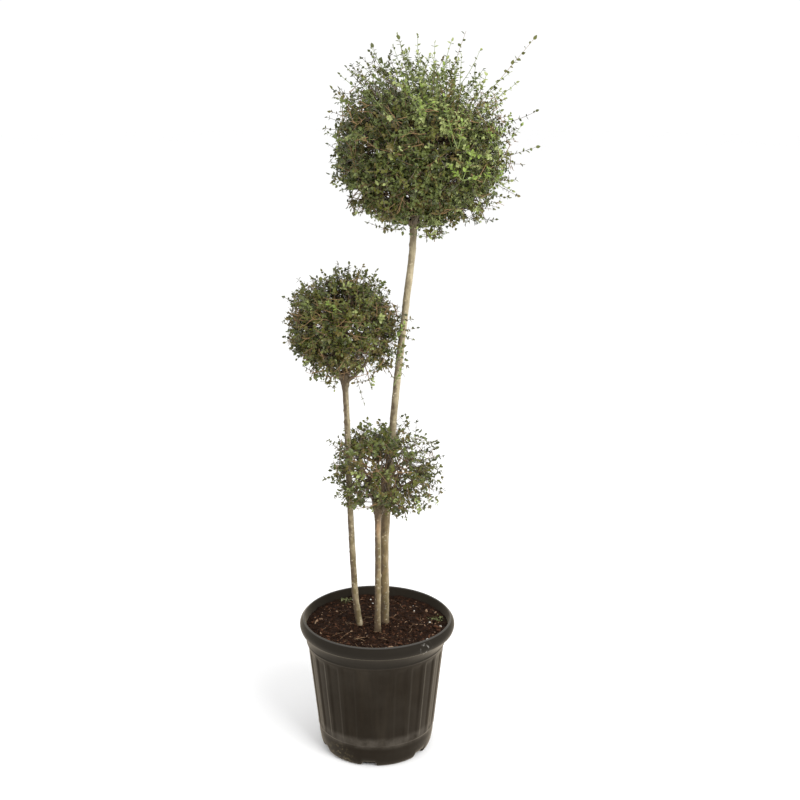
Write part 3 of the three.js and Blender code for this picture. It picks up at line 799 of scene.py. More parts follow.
def smooth_mask(tree, value, none, full):
    """0 where the value is none, 1 where it is full, and a smooth cubic between them."""
    wires = {0: value, 1: none, 2: full}
    return add(tree, "ShaderNodeMapRange", wires, interpolation_type="SMOOTHSTEP").outputs[0]


def marked(tree, name):
    """The number that mark() has left on the piece's points."""
    return add(tree, "ShaderNodeAttribute", attribute_name=name).outputs["Fac"]


def stretched(tree, spot, scale):
    """Coordinates for a pattern that runs along one axis."""
    return add(tree, "ShaderNodeMapping", {"Vector": spot, "Scale": scale}).outputs[0]


def effect_group(name, **inputs):
    """A new shader node group with one mask as its output. Each input has its default: a tuple makes a
    vector and a number makes a value."""
    tree = bpy.data.node_groups.new(name, "ShaderNodeTree")
    for label, default in inputs.items():
        kind = "NodeSocketVector" if isinstance(default, tuple) else "NodeSocketFloat"
        tree.interface.new_socket(label, in_out="INPUT", socket_type=kind).default_value = default
    tree.interface.new_socket("Mask", in_out="OUTPUT", socket_type="NodeSocketFloat")
    return tree, tree.nodes.new("NodeGroupInput").outputs, tree.nodes.new("NodeGroupOutput").inputs[0]


def mottle_group():
    """Uneven patches: noise of a scale, ranged so that Low gives 0 and High gives 1."""
    tree, given, result = effect_group("Mottle", Vector=(0, 0, 0), Scale=40.0, Low=0.4, High=0.6)
    wires = {"Vector": given["Vector"], "Scale": given["Scale"], "Detail": 6.0, "Roughness": 0.6}
    noise = add(tree, "ShaderNodeTexNoise", wires).outputs[0]
    tree.links.new(smooth_mask(tree, noise, given["Low"], given["High"]), result)
    return tree


def band_group():
    """A level band: 1 between the heights Low and High, fading out over Soft beyond them."""
    tree, given, result = effect_group("Band", Vector=(0, 0, 0), Low=0.0, High=0.1, Soft=0.01)
    height = add(tree, "ShaderNodeSeparateXYZ", {0: given["Vector"]}).outputs[2]
    below = add(tree, "ShaderNodeMath", {0: given["Low"], 1: given["Soft"]}, operation="SUBTRACT").outputs[0]
    above = add(tree, "ShaderNodeMath", {0: given["High"], 1: given["Soft"]}, operation="ADD").outputs[0]
    rise = smooth_mask(tree, height, below, given["Low"])
    fall = smooth_mask(tree, height, above, given["High"])
    tree.links.new(times(tree, rise, fall), result)
    return tree


def patch_group():
    """A round patch: 1 at Place, fading to 0 at Radius from it."""
    tree, given, result = effect_group("Patch", Vector=(0, 0, 0), Place=(0, 0, 0), Radius=0.05)
    wires = {0: given["Vector"], 1: given["Place"]}
    away = add(tree, "ShaderNodeVectorMath", wires, operation="DISTANCE").outputs["Value"]
    tree.links.new(smooth_mask(tree, away, given["Radius"], 0.0), result)
    return tree


SHARED = {}


def shared(maker, *given):
    """What a maker makes once, for every place that uses it."""
    if maker not in SHARED:
        SHARED[maker] = maker(*given)
    return SHARED[maker]


def effect(tree, maker, **wires):
    """Places a shared group in a material and returns its mask."""
    return add(tree, "ShaderNodeGroup", wires, node_tree=shared(maker)).outputs[0]


def mottle(tree, spot, scale, low, high):
    """Uneven patches in a material."""
    return effect(tree, mottle_group, Vector=spot, Scale=scale, Low=low, High=high)


def band(tree, spot, low, high, soft):
    """A level band in a material."""
    return effect(tree, band_group, Vector=spot, Low=low, High=high, Soft=soft)


def patch(tree, spot, centre, radius):
    """A round patch in a material."""
    return effect(tree, patch_group, Vector=spot, Place=centre, Radius=radius)


def even_material(name, roughness, shine):
    """A material and its principled shader, with the same roughness and shine all over."""
    material = bpy.data.materials.new(name)
    material.use_nodes = True
    shader = material.node_tree.nodes["Principled BSDF"]
    shader.inputs["Roughness"].default_value = roughness
    shader.inputs["Specular IOR Level"].default_value = shine
    return material, shader


def plain_material(name, colour, roughness, shine=0.5):
    """One of the plain colours that are dealt out by spray."""
    material, shader = even_material(name, roughness, shine)
    shader.inputs["Base Color"].default_value = opaque(colour)
    return material


def new_material(name, roughness, shine=0.5):
    """A material with its tree, its principled shader and the piece's own coordinates."""
    material, shader = even_material(name, roughness, shine)
    tree = material.node_tree
    return material, tree, shader, tree.nodes.new("ShaderNodeTexCoord").outputs["Object"]


def bump(tree, shader, height, strength, distance):
    """Fine relief from a mask."""
    wires = {"Height": height, "Strength": strength, "Distance": distance}
    tree.links.new(add(tree, "ShaderNodeBump", wires).outputs[0], shader.inputs["Normal"])


# Colours that only one place of a piece has
STEP_DUST = (0.082, 0.071, 0.058)
COLLAR_BLACK = (0.0190, 0.0172, 0.0145)
# Partly the lip's wear and partly a painted highlight along its edge
LIP_WEAR_AND_HIGHLIGHT = (0.14, 0.135, 0.125)
SCRATCH_PALE = (0.42, 0.40, 0.36)
DRY_FLECK = (0.20, 0.12, 0.08)
MOSS_TINGE = (0.075, 0.085, 0.03)
BLOTCH_BROWN = (0.200, 0.160, 0.096)
LICHEN_PALE = (0.420, 0.390, 0.290)
SPECK_BROWN = (0.085, 0.060, 0.032)
CRACK_BROWN = (0.12, 0.085, 0.05)
PEELED_RUST = (0.400, 0.245, 0.130)
# Also the colour of the painted shade on the stems' side away from the light
SCAR_AND_SHADE_BROWN = (0.078, 0.052, 0.029)
LEAF_BACK = (0.16, 0.17, 0.07)
MOSS_GREEN = (0.180, 0.200, 0.076)
MOSS_PALE = (0.240, 0.258, 0.122)

# Places of single marks and their radii
SCUFF = ((0.103, -0.126, 0.276), 0.022)
FOOT_DIRT = ((-0.075, -0.092, 0.012), 0.045)
PEELED_BARK = ((0.006, -0.030, 0.512), 0.042)
MOSS_REACH = 0.024


def pot_material(pot):
    """Black plastic, greyed unevenly. Dust lies in streaks, on the ribs round the sides and back, but not
    on the wiped front, and on the step over the foot. The collar is darker, the lip worn and scuffed, and
    dirt has dried on the foot. Sheen is the pale look of dust on a surface that turns away."""
    material, tree, shader, spot = new_material("dusty black plastic", 0.6, 0.02)
    shader.inputs["Specular Tint"].default_value = (1.0, 0.90, 0.76, 1.0)
    shader.inputs["Sheen Weight"].default_value = 0.40
    shader.inputs["Sheen Roughness"].default_value = 0.35
    shader.inputs["Sheen Tint"].default_value = (1.0, 0.86, 0.66, 1.0)
    faded = mottle(tree, spot, 9.0, 0.35, 0.75)
    colour = layer(tree, pot.plastic, pot.faded, faded)
    streak_spot = stretched(tree, spot, (1.0, 1.0, 0.08))
    streaks = mottle(tree, streak_spot, 60.0, 0.40, 0.80)
    wall = band(tree, spot, 0.06, 0.24, 0.02)
    colour = layer(tree, colour, pot.dust, streaks, wall, 0.040)
    # Ribs at the sides and back, not the front, paled: partly dust, partly painted light falling round the
    # sides
    quarter_turn = (math.pi / 2, 0.0, 0.0)
    depth = add(tree, "ShaderNodeMapping", {"Vector": spot, "Rotation": quarter_turn}).outputs[0]
    dust_and_side_light = band(tree, depth, -0.030, pot.height, 0.062)
    rib_mask = ranged(tree, marked(tree, "rib"), 0.06, 0.17)
    rubbed = mottle(tree, streak_spot, 120.0, 0.0, 0.60)
    colour = layer(tree, colour, pot.dust, dust_and_side_light, times(tree, rib_mask, rubbed, wall))
    grains = mottle(tree, spot, 160.0, 0.45, 0.75)
    smudge = mottle(tree, spot, 34.0, 0.18, 0.70)
    step = band(tree, spot, STEP_HEIGHT + 0.002, STEP_HEIGHT + 0.010, 0.014)
    colour = layer(tree, colour, STEP_DUST, step, smudge, 0.70)
    neck_band = band(tree, spot, NECK_HEIGHT, pot.height, 0.004)
    colour = layer(tree, colour, COLLAR_BLACK, neck_band, 0.55)
    # A pale band round the lip: partly wear, partly a painted highlight along its edge
    lip = band(tree, spot, pot.height - 0.0016, pot.height, 0.0012)
    colour = layer(tree, colour, LIP_WEAR_AND_HIGHLIGHT, lip, 0.35)
    # The inside wall is paled a little: partly dust, partly painted light on the shaded inner wall
    colour = layer(tree, colour, pot.dust, marked(tree, "inside"), 0.05)
    scuff = patch(tree, spot, *SCUFF)
    scratches = mottle(tree, stretched(tree, spot, (1.0, 1.0, 0.3)), 260.0, 0.58, 0.66)
    colour = layer(tree, colour, SCRATCH_PALE, scuff, scratches)
    foot = patch(tree, spot, *FOOT_DIRT)
    clods = mottle(tree, spot, 120.0, 0.48, 0.70)
    colour = layer(tree, colour, pot.dirt, foot, clods, 0.7)
    tree.links.new(colour, shader.inputs["Base Color"])
    tree.links.new(ranged(tree, grains, 0.52, 0.68), shader.inputs["Roughness"])
    bump(tree, shader, grains, 0.10, 0.0005)
    return material


def compost_material(compost):
    """Damp peat with drier crumbs and flecks, and a green tinge where the moss grows."""
    material, tree, shader, spot = new_material("bark compost", 0.9, 0.12)
    crumbs = mottle(tree, spot, 110.0, 0.42, 0.72)
    colour = layer(tree, compost.peat, compost.loam, crumbs)
    flecks = mottle(tree, spot, 420.0, 0.62, 0.72)
    colour = layer(tree, colour, DRY_FLECK, flecks, 0.6)
    for centre in MOSS_PLACES:
        green = patch(tree, spot, (*centre, SOIL_TOP), MOSS_REACH)
        colour = layer(tree, colour, MOSS_TINGE, green, crumbs)
    tree.links.new(colour, shader.inputs["Base Color"])
    bump(tree, shader, crumbs, 0.6, 0.003)
    return material


def bark_material(bark):
    """Smooth tan bark with grey patches and brown blotches. Low down come ochre, olive algae and lichen,
    then dark specks and cracks, a peeled place under the small ball, and the scars and pale pores marked
    on the mesh."""
    material, tree, shader, spot = new_material("tan bark", 0.72, 0.3)
    long_spot = stretched(tree, spot, (1.0, 1.0, 0.22))
    patches = mottle(tree, long_spot, 70.0, 0.40, 0.66)
    colour = layer(tree, bark.tan, bark.grey, patches)
    blotches = mottle(tree, spot, 95.0, 0.44, 0.62)
    colour = layer(tree, colour, BLOTCH_BROWN, blotches, 0.48)
    low = band(tree, spot, 0.0, SOIL_TOP + 0.12, 0.38)
    colour = layer(tree, colour, bark.ochre, low, marked(tree, "ochre"))
    algae = mottle(tree, spot, 55.0, 0.38, 0.62)
    colour = layer(tree, colour, bark.olive, algae, low, 0.9)
    lichen = mottle(tree, spot, 150.0, 0.57, 0.68)
    colour = layer(tree, colour, LICHEN_PALE, lichen, low, 0.7)
    specks = mottle(tree, long_spot, 240.0, 0.58, 0.70)
    colour = layer(tree, colour, SPECK_BROWN, specks, 0.45)
    cracks = mottle(tree, long_spot, 420.0, 0.45, 0.7)
    colour = layer(tree, colour, CRACK_BROWN, cracks, 0.35)
    colour = layer(tree, colour, PEELED_RUST, patch(tree, spot, *PEELED_BARK), 0.75)
    # Dark marks: scars, soil and the painted shade of the side away from the light
    colour = layer(tree, colour, SCAR_AND_SHADE_BROWN, marked(tree, "scar_and_shade"))
    # Pale marks: pores and the painted highlight of the side towards the light
    colour = layer(tree, colour, bark.pore, marked(tree, "pore"))
    tree.links.new(colour, shader.inputs["Base Color"])
    bump(tree, shader, cracks, 0.35, 0.0006)
    return material


def chip_material(name, dark, pale):
    """Splinters of bark, unevenly stained."""
    material, tree, shader, spot = new_material(name, 0.8, 0.08)
    stain = mottle(tree, spot, 140.0, 0.35, 0.7)
    tree.links.new(layer(tree, dark, pale, stain), shader.inputs["Base Color"])
    return material


# Pot


def outline_rows(start, runs):
    """Points along an outline. Each run is its rows, its knee and its end: straight where it has no knee,
    and otherwise a curve drawn to the knee."""
    rows = []
    for steps, knee, end in runs:
        if knee is None:
            rows.append(np.linspace(start, end, steps, endpoint=False))
        else:
            curve = bowed(np.array([start]), np.array([knee]), np.array([end]), steps + 1)
            rows.append(curve[0][:-1])
        start = end
    return np.concatenate(rows)


def pot_outline(pot):
    """Radius, height and side of the pot's rows: from the middle of the underside out, up the outside,
    over the lip and down the inside to the middle of its floor. Side is 1 outside, 0 inside."""
    foot, step, neck = pot.foot_radius, pot.step_radius, pot.neck_radius
    lip, top = pot.lip_radius, pot.height
    collar = pot.collar_radius - 0.0045
    over_lip = (lip - 0.0020, top - 0.0008)
    outside = (
        (5, None, (NOTCH_BACK - 0.002, 0.0)),
        (4, None, (UNDERSIDE_RADIUS, 0.0)),
        (8, (foot - 0.001, 0.003), (foot + 0.002, 0.018)),
        (5, (foot + 0.0033, 0.026), (foot + 0.0046, 0.034)),
        (4, None, (FOOT_BAND_RADIUS + 0.0002, STEP_HEIGHT - 0.004)),
        (4, (FOOT_BAND_RADIUS + 0.0003, STEP_HEIGHT - 0.001), (step - 0.0006, STEP_HEIGHT)),
        (4, (step, STEP_HEIGHT + 0.0005), (step + 0.0003, STEP_HEIGHT + 0.003)),
        (36, None, (FLUTE_TOP_RADIUS, FLUTE_TOP)),
        (3, None, (neck - 0.0014, NECK_HEIGHT - 0.003)),
        (4, (neck + 0.0006, NECK_HEIGHT - 0.001), (neck, NECK_HEIGHT + 0.002)),
        (10, (0.1515, 0.258), (collar - 0.0012, COLLAR_FOOT - 0.0012)),
        (3, None, (collar + 0.0006, COLLAR_FOOT)),
        (14, (collar + 0.0083, COLLAR_FOOT + 0.015), (lip, top - 0.0006)),
        (4, (lip - 0.0010, top + 0.0004), over_lip),
    )
    inside = (
        (14, None, (neck - POT_WALL, NECK_HEIGHT)),
        (3, None, (FLUTE_TOP_RADIUS - pot.flute_depth - POT_WALL, FLUTE_TOP)),
        (12, None, (foot - POT_WALL, POT_FLOOR + 0.006)),
        (4, None, (UNDERSIDE_RADIUS - POT_WALL, POT_FLOOR)),
        (6, None, (0.004, POT_FLOOR)),
    )
    outer = outline_rows((0.004, 0.0), outside)
    inner = outline_rows(over_lip, inside)
    side = np.concatenate([np.ones(len(outer)), np.zeros(len(inner))])
    rows = np.concatenate([outer, inner])
    return rows[:, 0], rows[:, 1], side


def pot_ring(radius, angle, height):
    """Places round the pot: a circle up to the neck. Above it the soft collar is out of round. It bulges
    at its right by the third power of the cosine and, a little towards the front, by a sixth power, and
    it is pushed along x by a share of y."""
    soft = ease(NECK_HEIGHT, COLLAR_FOOT + 0.002, height)
    bulge = np.cos(angle) ** 3 + np.clip(np.cos(angle + 0.25), 0, 1) ** 6
    away = radius + COLLAR_BULGE * soft * bulge
    pushed = np.cos(angle) - COLLAR_PUSH * soft * np.sin(angle)
    return np.stack([away * pushed, away * np.sin(angle)], axis=-1)


def flute_panel(pot, angle):
    """0 on the ribs between the flutes and 1 on the pressed panels."""
    from_rib = np.abs((angle / FULL_TURN * pot.flutes + 0.5) % 1 - 0.5)
    return ease(0.10, 0.24, from_rib)


def pot_surface(pot):
    """Rings of the pot over (outline, angle). The radius falls by the flute depth on each panel between
    the step and the neck, and the collar is out of round; the foot's lower edge lifts into an arch at
    each notch."""
    radius, height, side = pot_outline(pot)
    angle = even_turns(POT_COLUMNS)
    panel = flute_panel(pot, angle)
    fade = ease(STEP_HEIGHT + 0.001, STEP_HEIGHT + FLUTE_RUN, height)
    fade = fade * (1 - ease(FLUTE_TOP - FLUTE_RUN, FLUTE_TOP, height)) * side
    radius = radius[:, None] - pot.flute_depth * fade[:, None] * panel
    from_notch = (angle - NOTCH_TURN) % (FULL_TURN / NOTCH_COUNT)
    from_notch = np.minimum(from_notch, FULL_TURN / NOTCH_COUNT - from_notch) * pot.foot_radius
    arch = NOTCH_HEIGHT * (1 - ease(0.5 * NOTCH_WIDTH - NOTCH_SIDE, 0.5 * NOTCH_WIDTH, from_notch))
    low = np.clip(1 - height / NOTCH_FADE, 0, 1) * ease(NOTCH_BACK - 0.001, NOTCH_BACK + 0.001, radius[:, 0])
    lifted = height[:, None] + low[:, None] * arch
    return np.concatenate([pot_ring(radius, angle, height[:, None]), lifted[..., None]], axis=-1)


# Compost


def compost_height(compost, spots):
    """Height of the compost at points: level, falling towards the wall, with lumps and crumbs, and with a
    low bell-shaped mound round the foot of each stem."""
    away = np.linalg.norm(spots, axis=-1)
    flat = np.concatenate([spots, np.zeros((*spots.shape[:-1], 1))], axis=-1)
    lumps = sum(rise * swells(flat, seed, wave) for rise, seed, wave in COMPOST_LUMPS)
    for stem in STEMS.values():
        foot = np.linalg.norm(spots - np.array(stem["bends"][0][:2]), axis=-1)
        lumps = lumps + stem["mound"] * np.exp(-((foot / MOUND_WIDTH) ** 2))
    fall = compost.dip * ease(compost.level_radius, compost.radius, away)
    return compost.level - COMPOST_SETTLED - fall + lumps


def compost_surface(compost):
    """Rings of the filling: out over the top by radius and angle, then down the wall to its bottom."""
    angle = even_turns(COMPOST_COLUMNS)
    outward = np.linspace(0.01, 1, COMPOST_ROWS)[:, None, None]
    top = outward * pot_ring(compost.radius, angle, compost.level)
    rings = np.concatenate([top, compost_height(compost, top)[..., None]], axis=-1)
    skirt = []
    for radius, height in COMPOST_WALL:
        level = np.full((COMPOST_COLUMNS, 1), height)
        skirt.append(np.concatenate([pot_ring(radius, angle, height), level], axis=-1))
    return np.concatenate([rings, skirt])[::-1]


def scatter(rng, number, radius):
    """Random places, even over a disc."""
    away = radius * np.sqrt(rng.uniform(0, 1, number))
    turn = rng.uniform(0, FULL_TURN, number)
    return away[:, None] * level_ways(turn)[:, :2]


def strewn(compost, rng, spots, lengths, widths, thickness, profile, sides, tilt, lift):
    """Splinters that lie on the compost: an oval bar along a bowed line, its width following profile from
    end to end, turned at random, tilted a little and lifted by a share of its thickness."""
    number = len(spots)
    turn = rng.uniform(0, FULL_TURN, number)
    ahead = np.stack([np.cos(turn), np.sin(turn), tilt * rng.normal(size=number)], axis=-1)
    middle = np.concatenate([spots, (compost_height(compost, spots) + lift * thickness)[:, None]], axis=1)
    bow = 0.25 * rng.uniform(-1, 1, (number, 3)) * lengths[:, None] * (1, 1, 0.5)
    ends = 0.5 * lengths[:, None] * unit(ahead)
    paths = bowed(middle - ends, middle + bow, middle + ends, len(profile))
    wide = 0.5 * widths[:, None] * profile
    thick = 0.5 * thickness[:, None] * profile
    level = unit(UP + 0.5 * tilt * rng.normal(size=(number, 3)))
    return tubes(paths, wide, thick, sides, flat=level)


# Stems and boughs


def stem_form(name):
    """A stem's axis with even steps, the distance from its foot, its radius and its share of the knuckle.
    The radius is a straight taper, plus a root flare that dies away from the foot, plus a bell-shaped
    knuckle under the head."""
    stem = STEMS[name]
    path, run = smooth_path(stem["bends"], STEM_ROW)
    foot, head = stem["radii"]
    radius = foot + (head - foot) * run / run[-1] + stem["flare"] * np.exp(-run / FLARE_LENGTH)
    knuckle = np.exp(-(((run[-1] - KNUCKLE_DROP - run) / KNUCKLE_LENGTH) ** 2))
    return path, run, radius + stem["knuckle"] * knuckle, knuckle


def spots_on_bark(rng, run, angle, girth, number, across, tall):
    """Sum of seeded bell-shaped spots over (distance, angle): each is across wide and tall high."""
    at = rng.uniform(run[0], run[-1], number)
    turn = rng.uniform(0, FULL_TURN, number)
    size = rng.uniform(0.6, 1.25, number)
    up = (run[:, None] - at) / (tall * size)
    round_way = (np.abs(angle[:, None] - turn + math.pi) % FULL_TURN - math.pi) * girth / (across * size)
    return np.exp(-(up**2)) @ np.exp(-(round_way**2)).T


def stem_surface(name, bark, seed):
    """Rings of a stem over (distance, angle), level as the solid's are, and its two marks. Its radius is
    that of the form, plus long ridges, node swellings every few centimetres, raised pores and the stubs
    of clipped twigs. The tall stem also leans nearer to the short one and swells where they meet."""
    rng = np.random.default_rng(seed)
    path, run, radius, knuckle = stem_form(name)
    if name == "tall":
        close = ease(*CLOSE_RISE, path[:, 2]) * (1 - ease(*CLOSE_FALL, path[:, 2]))
        path = path - CLOSE_SWELL * np.outer(close, (1, 0, 0))
        join = np.exp(-(((path[:, 2] - JOIN_HEIGHT) / JOIN_LENGTH) ** 2))
        radius = radius + JOIN_SWELL * join + CLOSE_SWELL * close
    angle = even_turns(STEM_COLUMNS)
    around = level_ways(angle)
    girth = radius.mean()
    skin = path[:, None] + radius[:, None, None] * around
    long_skin = skin * (1, 1, 0.12)
    ridges = bark.relief * (swells(long_skin, seed, 0.006) + 0.8 * swells(long_skin, seed + 1, 0.0028))
    knobs = KNUCKLE_RELIEF * knuckle[:, None] * swells(skin, seed + 2, 0.010)
    waver = WAVER * radius[:, None] * swells(skin, seed + 3, 0.060)
    pores = spots_on_bark(rng, run, angle, girth, round(bark.pores * run[-1]), *PORE_SIZE)
    nodes = np.arange(NODE_FIRST, run[-1], NODE_GAP)
    nodes = nodes + rng.uniform(-NODE_SHIFT, NODE_SHIFT, len(nodes))
    lean = rng.uniform(0, FULL_TURN, len(nodes))
    ring = np.exp(-(((run[:, None] - nodes) / NODE_LENGTH) ** 2))
    rings = ring @ (0.55 + 0.45 * np.cos(angle[None] - lean[:, None]))
    stubs = spots_on_bark(rng, run, angle, girth, STUBS, *STUB_SIZE)
    swollen = ridges + knobs + waver + PORE_RISE * pores + NODE_RISE * rings + STUB_RISE * stubs
    skin = skin + swollen[..., None] * around
    foot = skin[:1] - (0, 0, STEM_SINK)
    pale, dark = bark_marks(STEMS[name], skin, path, run, angle, knuckle, pores, seed)
    marks = [np.concatenate([values[:1], values]).ravel() for values in (pale, dark)]
    return np.concatenate([foot, skin]), marks


def bark_marks(stem, skin, path, run, angle, knuckle, pores, seed):
    """How pale and how dark each point of a stem is, from 0 to 1. Pale are the pores and the side that
    the sun bleaches, where the bark is neither knuckled nor soiled. Dark are the rough head, the
    weathered side and the foot, where soil and a longer stain die away upwards."""
    head = np.exp(-(((run[-1] - HEAD_DROP - run) / HEAD_LENGTH) ** 2))[:, None]
    rough = stem["knuckle"] / HEAD_KNUCKLE * head * (0.9 + 0.35 * swells(skin, seed + 4, 0.010))
    wander = 0.4 * swells(skin, seed + 5, 0.05)
    # Painted shade: the side away from the light is darkened, by half as much near the top
    shade_side = stem["shade_side"] * ease(0.1, 0.9, np.cos(angle - SHADE_SIDE_ANGLE + wander))
    shade_side = shade_side * (1 - 0.5 * ease(*SHADE_SIDE_TOP, path[:, 2:]))
    shade_side = shade_side * (0.8 + 0.35 * swells(skin, seed + 7, 0.012))
    uneven = swells(skin, seed + 8, 0.010)
    soiled = SOIL_DARK * np.exp(-run[:, None] / (SOIL_LENGTH + 0.003 * uneven))
    soiled = soiled + stem["stain"] * np.exp(-run[:, None] / STAIN_LENGTH) * (0.9 + 0.3 * uneven)
    dark = np.clip(rough + shade_side + soiled, 0, DARKEST)
    # Painted highlight: the side towards the light is paled
    lit_side = LIT_SIDE_PALENESS * ease(0.5, 0.95, np.cos(angle - LIT_SIDE_ANGLE + wander))
    lit_side = lit_side * (0.6 + 0.4 * swells(skin, seed + 6, 0.03))
    clean = np.clip(1 - soiled, 0, 1)
    pale = np.clip((pores + lit_side) * (1 - knuckle[:, None]) * clean, 0, 1)
    return pale, dark


def reach(ball, ways):
    """Distance from a ball's centre to its clipped outline: a rounded box with low swells."""
    power = ball.squareness
    boxed = (np.abs(ways / np.array(ball.half)) ** power).sum(axis=-1) ** (-1 / power)
    turns = ways * (5, 6, 7) + ball.seed * np.array((1, 2, 3))
    return boxed * (1 + ball.lumps * np.sin(turns).sum(axis=-1) / 3)


def core_reach(ball, ways):
    """Distance from the core's centre to its skin: the outline at a smaller size, with clumps."""
    x, y, z = ways[..., 0], ways[..., 1], ways[..., 2]
    clump = np.sin(11 * x + ball.seed) * np.sin(13 * y - ball.seed) + np.sin(12 * z + 2 * ball.seed)
    return ball.core_share * reach(ball, ways) * (1 + CORE_CLUMPS * clump)


def core_centre(ball):
    """Middle of the dense inside, a little under the outline's centre."""
    return np.array(ball.centre) - ball.core_drop * UP


def bough_paths(ball, stem_name, steps):
    """Axes of boughs: each leaves the stem under its head, bows out and ends low on the core's skin."""
    path, run, _, _ = stem_form(stem_name)
    order = np.arange(ball.boughs)
    turn = FULL_TURN * order / ball.boughs + ball.seed
    out = level_ways(turn)
    ways = math.sin(BOUGH_SPREAD) * out - math.cos(BOUGH_SPREAD) * UP
    drop = run[-1] - BOUGH_DROP - BOUGH_STAGGER * (order % 2)
    starts = np.stack([np.interp(drop, run, path[:, axis]) for axis in range(3)], axis=1)
    ends = core_centre(ball) + ways * core_reach(ball, ways)[:, None]
    knees = (starts + ends) / 2 + BOUGH_BOW * np.linalg.norm(ends - starts, axis=1, keepdims=True) * out
    return bowed(starts, knees, ends, steps)


def bough_surface(ball, stem_name, bark):
    """Rings of the boughs: round limbs that taper evenly, with the bark's ridges and a swollen collar."""
    paths = bough_paths(ball, stem_name, BOUGH_ROWS)
    taper = ball.bough_radius * np.linspace(1, BOUGH_TAPER, BOUGH_ROWS)
    collar = BOUGH_COLLAR * ball.bough_radius * np.exp(-np.linspace(0, 5, BOUGH_ROWS))
    radius = np.broadcast_to(taper + collar, paths.shape[:2])
    rings = tubes(paths, radius, radius, BOUGH_COLUMNS)
    out = rings - paths[:, :, None]
    relief = 2.2 * bark.relief * swells(rings, ball.seed, 0.009)
    relief = relief + bark.relief * swells(rings, ball.seed + 1, 0.004)
    return rings + unit(out) * relief[..., None]


# Balls


def golden_ways(rng, number):
    """Directions spread over a sphere: equal steps of height, each turned on by the golden angle."""
    order = np.arange(number)
    high = 1 - (2 * order + 1) / number
    flat = np.sqrt(1 - high**2)
    turn = order * GOLDEN_ANGLE + TWIG_TURN * rng.uniform(-1, 1, number)
    return np.stack([flat * np.cos(turn), flat * np.sin(turn), high], axis=-1)


def twigs_to(rng, roots, tips, steps, lift=TWIG_LIFT, sway=TWIG_SWAY):
    """Twigs from roots to tips, each drawn to a knee halfway that sways to a side and lies lower by lift,
    so that the twig bends upwards."""
    run = np.linalg.norm(tips - roots, axis=1, keepdims=True)
    knees = (roots + tips) / 2 + sway * run * rng.uniform(-1, 1, roots.shape) - lift * run * UP
    return bowed(roots, knees, tips, steps)


def facing(ways):
    """How much directions face the sky, the right, the ground and the upper right, each eased from 0 to
    1. The upper right is the product of three: up, right, and square to the line of sight."""
    right, high = ways[:, 0], ways[:, 2]
    across = np.hypot(right, high) + 1e-9
    corner = ease(0.05, 0.40, high / across) * ease(-0.25, 0.45, right / across) * ease(0.3, 0.8, across)
    return np.stack([ease(0.15, 0.95, high), ease(0.2, 1.0, right), ease(0.2, 0.95, -high), corner], axis=-1)


def fringe_depth(ball, ways):
    """Depth of the loose rim of shoots, as a share of the reach, which grows by the way that it faces."""
    return ball.fringe + facing(ways) @ np.array(ball.fringe_more)


def leafy_reach(ball, ways):
    """The clipped outline as leaves fill it: tufts stand out of it, hollows lie between them, and the
    upper right corner is cut back."""
    tufted = 1 + ball.tufts * (swells(ways, ball.seed, 0.75) - 0.1)
    return reach(ball, ways) * tufted * (1 - ball.corner * facing(ways)[:, 3])


def plan_places(plan, key):
    """Places of the plan, in metres."""
    return np.array(plan[key]) / 1000


def clear_of_stems(points, own, clearance):
    """True for points that keep clear of every stem but the one named as their own."""
    clear = np.ones(len(points), bool)
    for name in STEMS:
        path, _, radius, _ = stem_form(name)
        level = np.clip(np.searchsorted(path[:, 2], points[:, 2]), 0, len(path) - 1)
        away = np.linalg.norm(points[:, :2] - path[level, :2], axis=1)
        beside = points[:, 2] < path[-1, 2] + clearance
        clear &= ~beside | (away > radius[level] + clearance) | (name == own)
    return clear


def opened(points, plan, ball, head, margin):
    """True for points in the way of a gap: within its radius and the margin of the line from the eye
    through the gap's place in the plane of the ball's centre. A window opens only what is before the
    stem's head."""
    eye = np.array(settings().stage.eye)
    hit = np.zeros(len(points), bool)
    for kind in ("sky", "window"):
        before = (points[:, 1] < head[1]) | (kind == "sky")
        for x, z, radius in plan_places(plan, kind):
            line = unit(np.array(ball.centre) + (x, 0, z) - eye)
            away = np.linalg.norm(np.cross(points - eye, line), axis=1)
            hit |= before & (away < radius + margin)
    return hit


